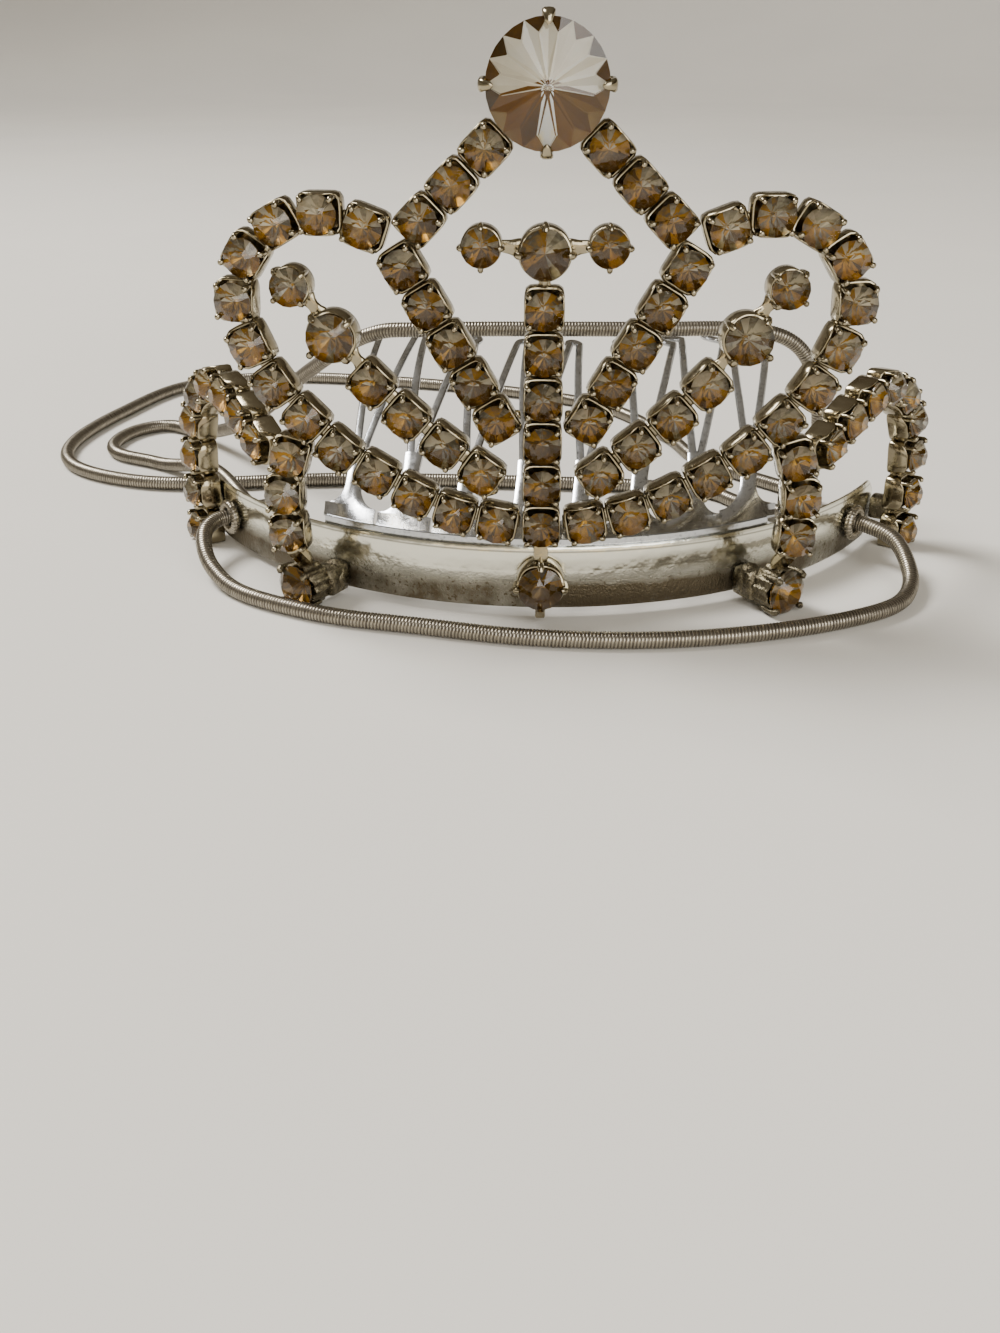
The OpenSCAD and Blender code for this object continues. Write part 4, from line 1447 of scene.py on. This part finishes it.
class TIARA_OT_posts(bpy.types.Operator):
    """Makes the posts under the hearts' sides, with their feet and their solder."""
    bl_idname = "tiara.make_posts"
    bl_label = "Posts"

    def execute(self, context):
        cup = settings().cup
        for seed, (name, side) in enumerate(SIDES.items()):
            base = foot_seat(side)
            seats = panel_run(side, POST_ROUTE, 3)
            piece = Piece()
            # The foot's claws stand at its diagonals, clear of the floor
            skewed = base.copy()
            skewed[:, 1] = unit(base[:, 1] + np.cross(base[:, 2], base[:, 1]))
            add_cups(piece, skewed, True, flutes=14, metal=SOLDER)
            add_run(piece, seats)
            add_riser(piece, base[0], seats[0])
            out = base[0, 2]
            inner = (base[0, 0] - out * (cup.big_depth - LINK_INSET)
                     + side * 1.3 * MM * np.cross(out, UP))
            end = on_band(inner)
            # The solder between the foot and the band: a bar in a lump
            piece.add(bar(inner, end, 3 * MM, 3.4 * MM), SOLDER)
            axes = np.stack([base[0, 1], np.cross(out, base[0, 1]), out])
            radii = np.array([1.9, 1.7, 1.1]) * MM
            piece.add(lump(inner * 0.4 + end * 0.6, axes, radii, 70 + seed), SOLDER)
            metal_piece(piece, "post_" + name)
            small_stones("post_" + name, seats, 72 + seed)
            big_stone("post_stone_" + name, base, 74 + seed, FOOT_PAINTED_SHADE[side])
        return {"FINISHED"}


class TIARA_OT_arches(bpy.types.Operator):
    """Makes the arches at the band's ends."""
    bl_idname = "tiara.make_arches"
    bl_label = "Arches"

    def execute(self, context):
        band, cup = settings().band, settings().cup
        for seed, (name, side) in enumerate(SIDES.items()):
            seats = arch_seats(side)
            top = panel_run(side, POST_ROUTE, 3)[2]
            joint = top[0] - top[2] * (cup.small_depth + 0.3 * MM) + [side * 1.2 * MM, 0, 0]
            rise = bore_height() - cup.small_width / 2
            back = seats[0, 0] - seats[0, 2] * (cup.small_depth - LINK_INSET) + UP * rise
            piece = run_piece(seats)
            # Solder behind the post's top cup, and from the foot to the band where they are apart
            piece.add(bar(joint, joint - top[2] * 2.4 * MM, 1.6 * MM, 2.4 * MM), SOLDER)
            if np.linalg.norm(back - arc_middle(back[2])) > band.radius + MM:
                piece.add(bar(back, on_band(back), 2.4 * MM, 3 * MM), SOLDER)
            # The lowest cup is cut flat at the floor
            for points in piece.points:
                points[:, 2] = np.maximum(points[:, 2], 0)
            metal_piece(piece, "arch_" + name)
            small_stones("arch_" + name, seats, 80 + seed)
        return {"FINISHED"}


class TIARA_OT_main_stone(bpy.types.Operator):
    """Makes the main stone, its ring and its four claws."""
    bl_idname = "tiara.make_main_stone"
    bl_label = "Main stone"

    def execute(self, context):
        panel, cup = settings().panel, settings().cup
        place = panel_seats(0, panel.stone_height / MM, 1, 0)
        radius = panel.stone / 2
        piece = Piece()
        piece.add_at(self.ring(radius - 0.5 * MM, cup.small_depth), place)
        piece.add_at(four(self.claw(radius, cup.small_depth)), place)
        metal_piece(piece, "main_setting")
        points, front, back, tints = self.rivoli(radius)
        stone = Piece()
        lifted = place.copy()
        lifted[:, 0] += 0.25 * MM * place[:, 2]
        stone.add_at((points, front), lifted, GLASS)
        stone.add_at((points, back), lifted, FOIL, tints)
        # Painted warm reflection, less than on the small stones, and only near the lowest edge
        stone.high = [0.62 + 0.3 * points[:, 1] / radius] * 2
        stone.put("main_stone_glass", [material("glass"), material("satin")], "main_stone_glass",
                  "main_stone", sharp=0)
        return {"FINISHED"}

    def ring(self, r, depth):
        """A thin-walled cup, turned round its axis."""
        wall = 0.5 * MM
        profile = [[r - wall, 0.6 * MM - depth], [r - wall, -0.3 * MM],
                   [r - 0.1 * MM, -0.2 * MM], [r, -0.35 * MM], [r, 0.25 * MM - depth],
                   [r - 0.3 * MM, -depth], [r * 0.3, -depth]]
        return loft(np.stack([circle(p, z, 48) for p, z in profile]))

    def claw(self, r, depth):
        """A flat claw that rises behind the stone's edge and bends over it to a round tip."""
        path = np.array([[r - 1.0 * MM, 0, 0.25 * MM - depth], [r - 0.2 * MM, 0, 0.3 * MM - depth],
                         [r + 0.32 * MM, 0, 0.75 * MM - depth], [r + 0.42 * MM, 0, -0.6 * MM],
                         [r + 0.4 * MM, 0, 0.45 * MM], [r + 0.2 * MM, 0, 0.95 * MM],
                         [r - 0.25 * MM, 0, 1.2 * MM], [r - 0.75 * MM, 0, 1.25 * MM]])
        line = catmull(path, 4)
        t = np.linspace(0, 1, len(line))
        half = MM * (0.62 - 0.22 * smoothstep((t - 0.6) / 0.3))
        half = half * (1 - 0.7 * smoothstep((t - 0.9) / 0.1))
        tangent = unit(np.gradient(line, axis=0))
        across = np.array([0.0, 1, 0])
        return sweep(line, across, np.cross(tangent, across), half, 0.26 * MM, 3.0, 10)

    def rivoli(self, r):
        """A pointed round stone: 16 long facets to the point in front and behind, 32 small ones
        along the girdle. Returns points, glass faces, foil faces and the foil's tints.

        Long foil facets are pale above and brown below, the lowest one brightest as a painted
        highlight;
        small ones are dark above and middling below. The splits above and below are painted
        reflections.
        """
        k = np.arange(16)
        a = 2 * np.pi * k / 16
        high, girdle, inner = 2.2 * MM, 0.3 * MM, r * 0.74
        points = np.concatenate([[[0, 0, girdle + 0.8 * high]],
                                 circle(inner, girdle + 0.6 * MM, 16, 0.5),
                                 circle(r, girdle, 32), circle(r, 0, 32),
                                 circle(inner, -0.72 * MM, 16, 0.5), [[0, 0, -high]]])
        m, g, h, p, end = 1, 17, 49, 81, 97
        long_front = np.stack([np.zeros(16, int), m + (k - 1) % 16, g + 2 * k, m + k], 1)
        long_back = np.stack([np.full(16, end), p + k, h + 2 * k, p + (k - 1) % 16], 1)
        front = [np.concatenate([long_front, belt(g, h, 32)]), halves(k, m, g)]
        back = [long_back, halves(k, p, h)[:, [0, 2, 1]]]
        front, back = outwards(points, front, back)
        # Painted reflection: facets above the middle are pale, those below brown
        above = np.sin(a) > -0.05
        tint = np.where(above, 0.76 + 0.06 * np.cos(3 * a), 0.24 + 0.08 * np.cos(5 * a))
        # Painted highlight: the lowest long facet gets the brightest tint
        tint = np.where(np.abs(a - 1.5 * np.pi) < 0.25, 1.0, tint)
        small = np.concatenate([np.where(above, 0.12, 0.42) + 0.06 * np.cos(7 * a)] * 2)
        return points, front, back, [tint, small]


class TIARA_OT_stage(bpy.types.Operator):
    """Makes the plain pale floor and the soft studio light."""
    bl_idname = "tiara.make_stage"
    bl_label = "Stage"

    def execute(self, context):
        self.floor()
        stage = settings().stage
        self.sun(stage.sun)
        self.light("key", (-0.34, 0.16, 0.5), 0.24, 0.24, stage.key, (1.0, 0.97, 0.93))
        self.light("fill", (0.16, -0.42, 0.24), 0.4, 0.3, stage.fill, (1.0, 0.98, 0.94))
        self.light("warm", (0.02, -0.34, 0.03), 0.5, 0.04, stage.warm, (1.0, 0.78, 0.45))
        world = bpy.data.worlds.new("sky")
        world.use_nodes = True
        self.sky(world.node_tree, stage.sky)
        context.scene.world = world
        return {"FINISHED"}

    def sky(self, tree, strength):
        """Even light that grows from dark round the horizon to bright above and to the left.

        The camera itself sees a plain pale backdrop.
        """
        n = Nodes(tree)
        place = n.add("ShaderNodeTexCoord").outputs["Generated"]
        lean = n.add("ShaderNodeVectorMath", {0: place, 1: (-0.25, -0.02, 0.75)},
                     operation="DOT_PRODUCT").outputs["Value"]
        shade = n.ramp(n.between(lean, -0.3, 0.7, 0, 1), (0.0, (0.06, 0.047, 0.03)),
                       (0.35, (0.11, 0.085, 0.055)), (0.62, (0.19, 0.155, 0.105)),
                       (1.0, (0.34, 0.3, 0.24)))
        back = tree.nodes["Background"]
        n.set(back, {"Color": shade, "Strength": strength})
        plain = n.add("ShaderNodeBackground", {"Color": (0.74, 0.73, 0.71, 1)})
        seen = n.add("ShaderNodeLightPath").outputs["Is Camera Ray"]
        mix = n.add("ShaderNodeMixShader", {0: seen, 1: back.outputs[0], 2: plain.outputs[0]})
        n.set(tree.nodes["World Output"], {"Surface": mix.outputs[0]})

    def floor(self):
        """A disc of paper 0.8 m in radius, turned up all round in a quarter circle of 0.35 m."""
        flat, bend, sides = 0.8, 0.35, 96
        up = np.linspace(0, np.pi / 2, 13)
        reach = np.concatenate([[0.4], flat + bend * np.sin(up)])[:, None]
        height = np.concatenate([[0.0], bend - bend * np.cos(up)])[:, None]
        a = 2 * np.pi * np.arange(sides)[None] / sides
        rings = np.stack(np.broadcast_arrays(reach * np.cos(a), reach * np.sin(a), height), -1)
        i, j = np.arange(len(reach) - 1)[:, None] * sides, np.arange(sides)[None]
        k = (j + 1) % sides
        walls = np.stack([i + j, i + sides + j, i + sides + k, i + k], -1).reshape(-1, 4)
        mesh = bpy.data.meshes.new("floor")
        mesh.from_pydata(rings.reshape(-1, 3).tolist(), [],
                         [list(range(sides))] + walls.tolist())
        mesh.polygons.foreach_set("use_smooth", np.full(len(walls) + 1, True))
        r = Recipe("floor_paper")
        base = settings().stage.floor
        shade = r.ramp(r.noise(14, 2), (0.3, toned(base, 0.97)), (0.7, base))
        r.set(r.shader, {"Base Color": shade, "Roughness": 0.75, "Specular IOR Level": 0.0})
        r.bump(r.noise(900, 4), 0.00003, 0.3)
        mesh.materials.append(r.material)
        floor = new_object("floor", mesh)

    def sun(self, strength):
        """A wide even light from above and the left, which doesn't fall off."""
        lamp = bpy.data.lights.new("even", "SUN")
        lamp.energy, lamp.color, lamp.angle = strength, (1.0, 0.975, 0.94), math.radians(24)
        made = new_object("even", lamp)
        made.rotation_euler = (math.radians(-8), math.radians(-34), 0)

    def light(self, name, place, width, height, power, shade):
        """A soft rectangle that faces the tiara's middle."""
        lamp = bpy.data.lights.new(name, "AREA")
        lamp.shape, lamp.size, lamp.size_y = "RECTANGLE", width, height
        lamp.energy, lamp.color = power, shade
        z = unit(np.array(place) - [0, 0, 0.025])
        x = unit(np.cross(UP, z))
        rows = np.stack([x, np.cross(z, x), z, place], 1)
        made = new_object(name, lamp)
        made.matrix_world = Matrix([*rows, [0, 0, 0, 1]])


OPERATORS = (TIARA_OT_camera, TIARA_OT_cords, TIARA_OT_band, TIARA_OT_comb, TIARA_OT_hearts,
             TIARA_OT_rays, TIARA_OT_column, TIARA_OT_posts, TIARA_OT_arches, TIARA_OT_main_stone,
             TIARA_OT_stage)


class TIARA_PT_panel(bpy.types.Panel):
    """Lists the tiara's settings and its making steps."""
    bl_idname = "TIARA_PT_panel"
    bl_label = "Mini Tiara"
    bl_space_type = "VIEW_3D"
    bl_region_type = "UI"
    bl_category = "Tiara"

    def draw(self, context):
        for group in ("band", "cup", "panel", "comb", "cord", "finish", "stage"):
            box = self.layout.box()
            box.label(text=group.capitalize())
            values = getattr(context.scene.tiara, group)
            for key in values.__annotations__:
                box.prop(values, key)
        for made in OPERATORS:
            self.layout.operator(made.bl_idname)


GROUPS = (BandSizes, CupSizes, PanelSizes, CombSizes, CordSizes, Finishes, StageSettings,
          TiaraSettings)


def register():
    for made in GROUPS + OPERATORS + (TIARA_PT_panel,):
        bpy.utils.register_class(made)
    bpy.types.Scene.tiara = bpy.props.PointerProperty(type=TiaraSettings, name="Tiara",
                                                      description="Sizes and colours of the tiara")


def unregister():
    del bpy.types.Scene.tiara
    for made in reversed(GROUPS + OPERATORS + (TIARA_PT_panel,)):
        bpy.utils.unregister_class(made)


def main():
    register()
    for made in OPERATORS:
        group, name = made.bl_idname.split(".")
        getattr(getattr(bpy.ops, group), name)()


if __name__ == "__main__":
    main()
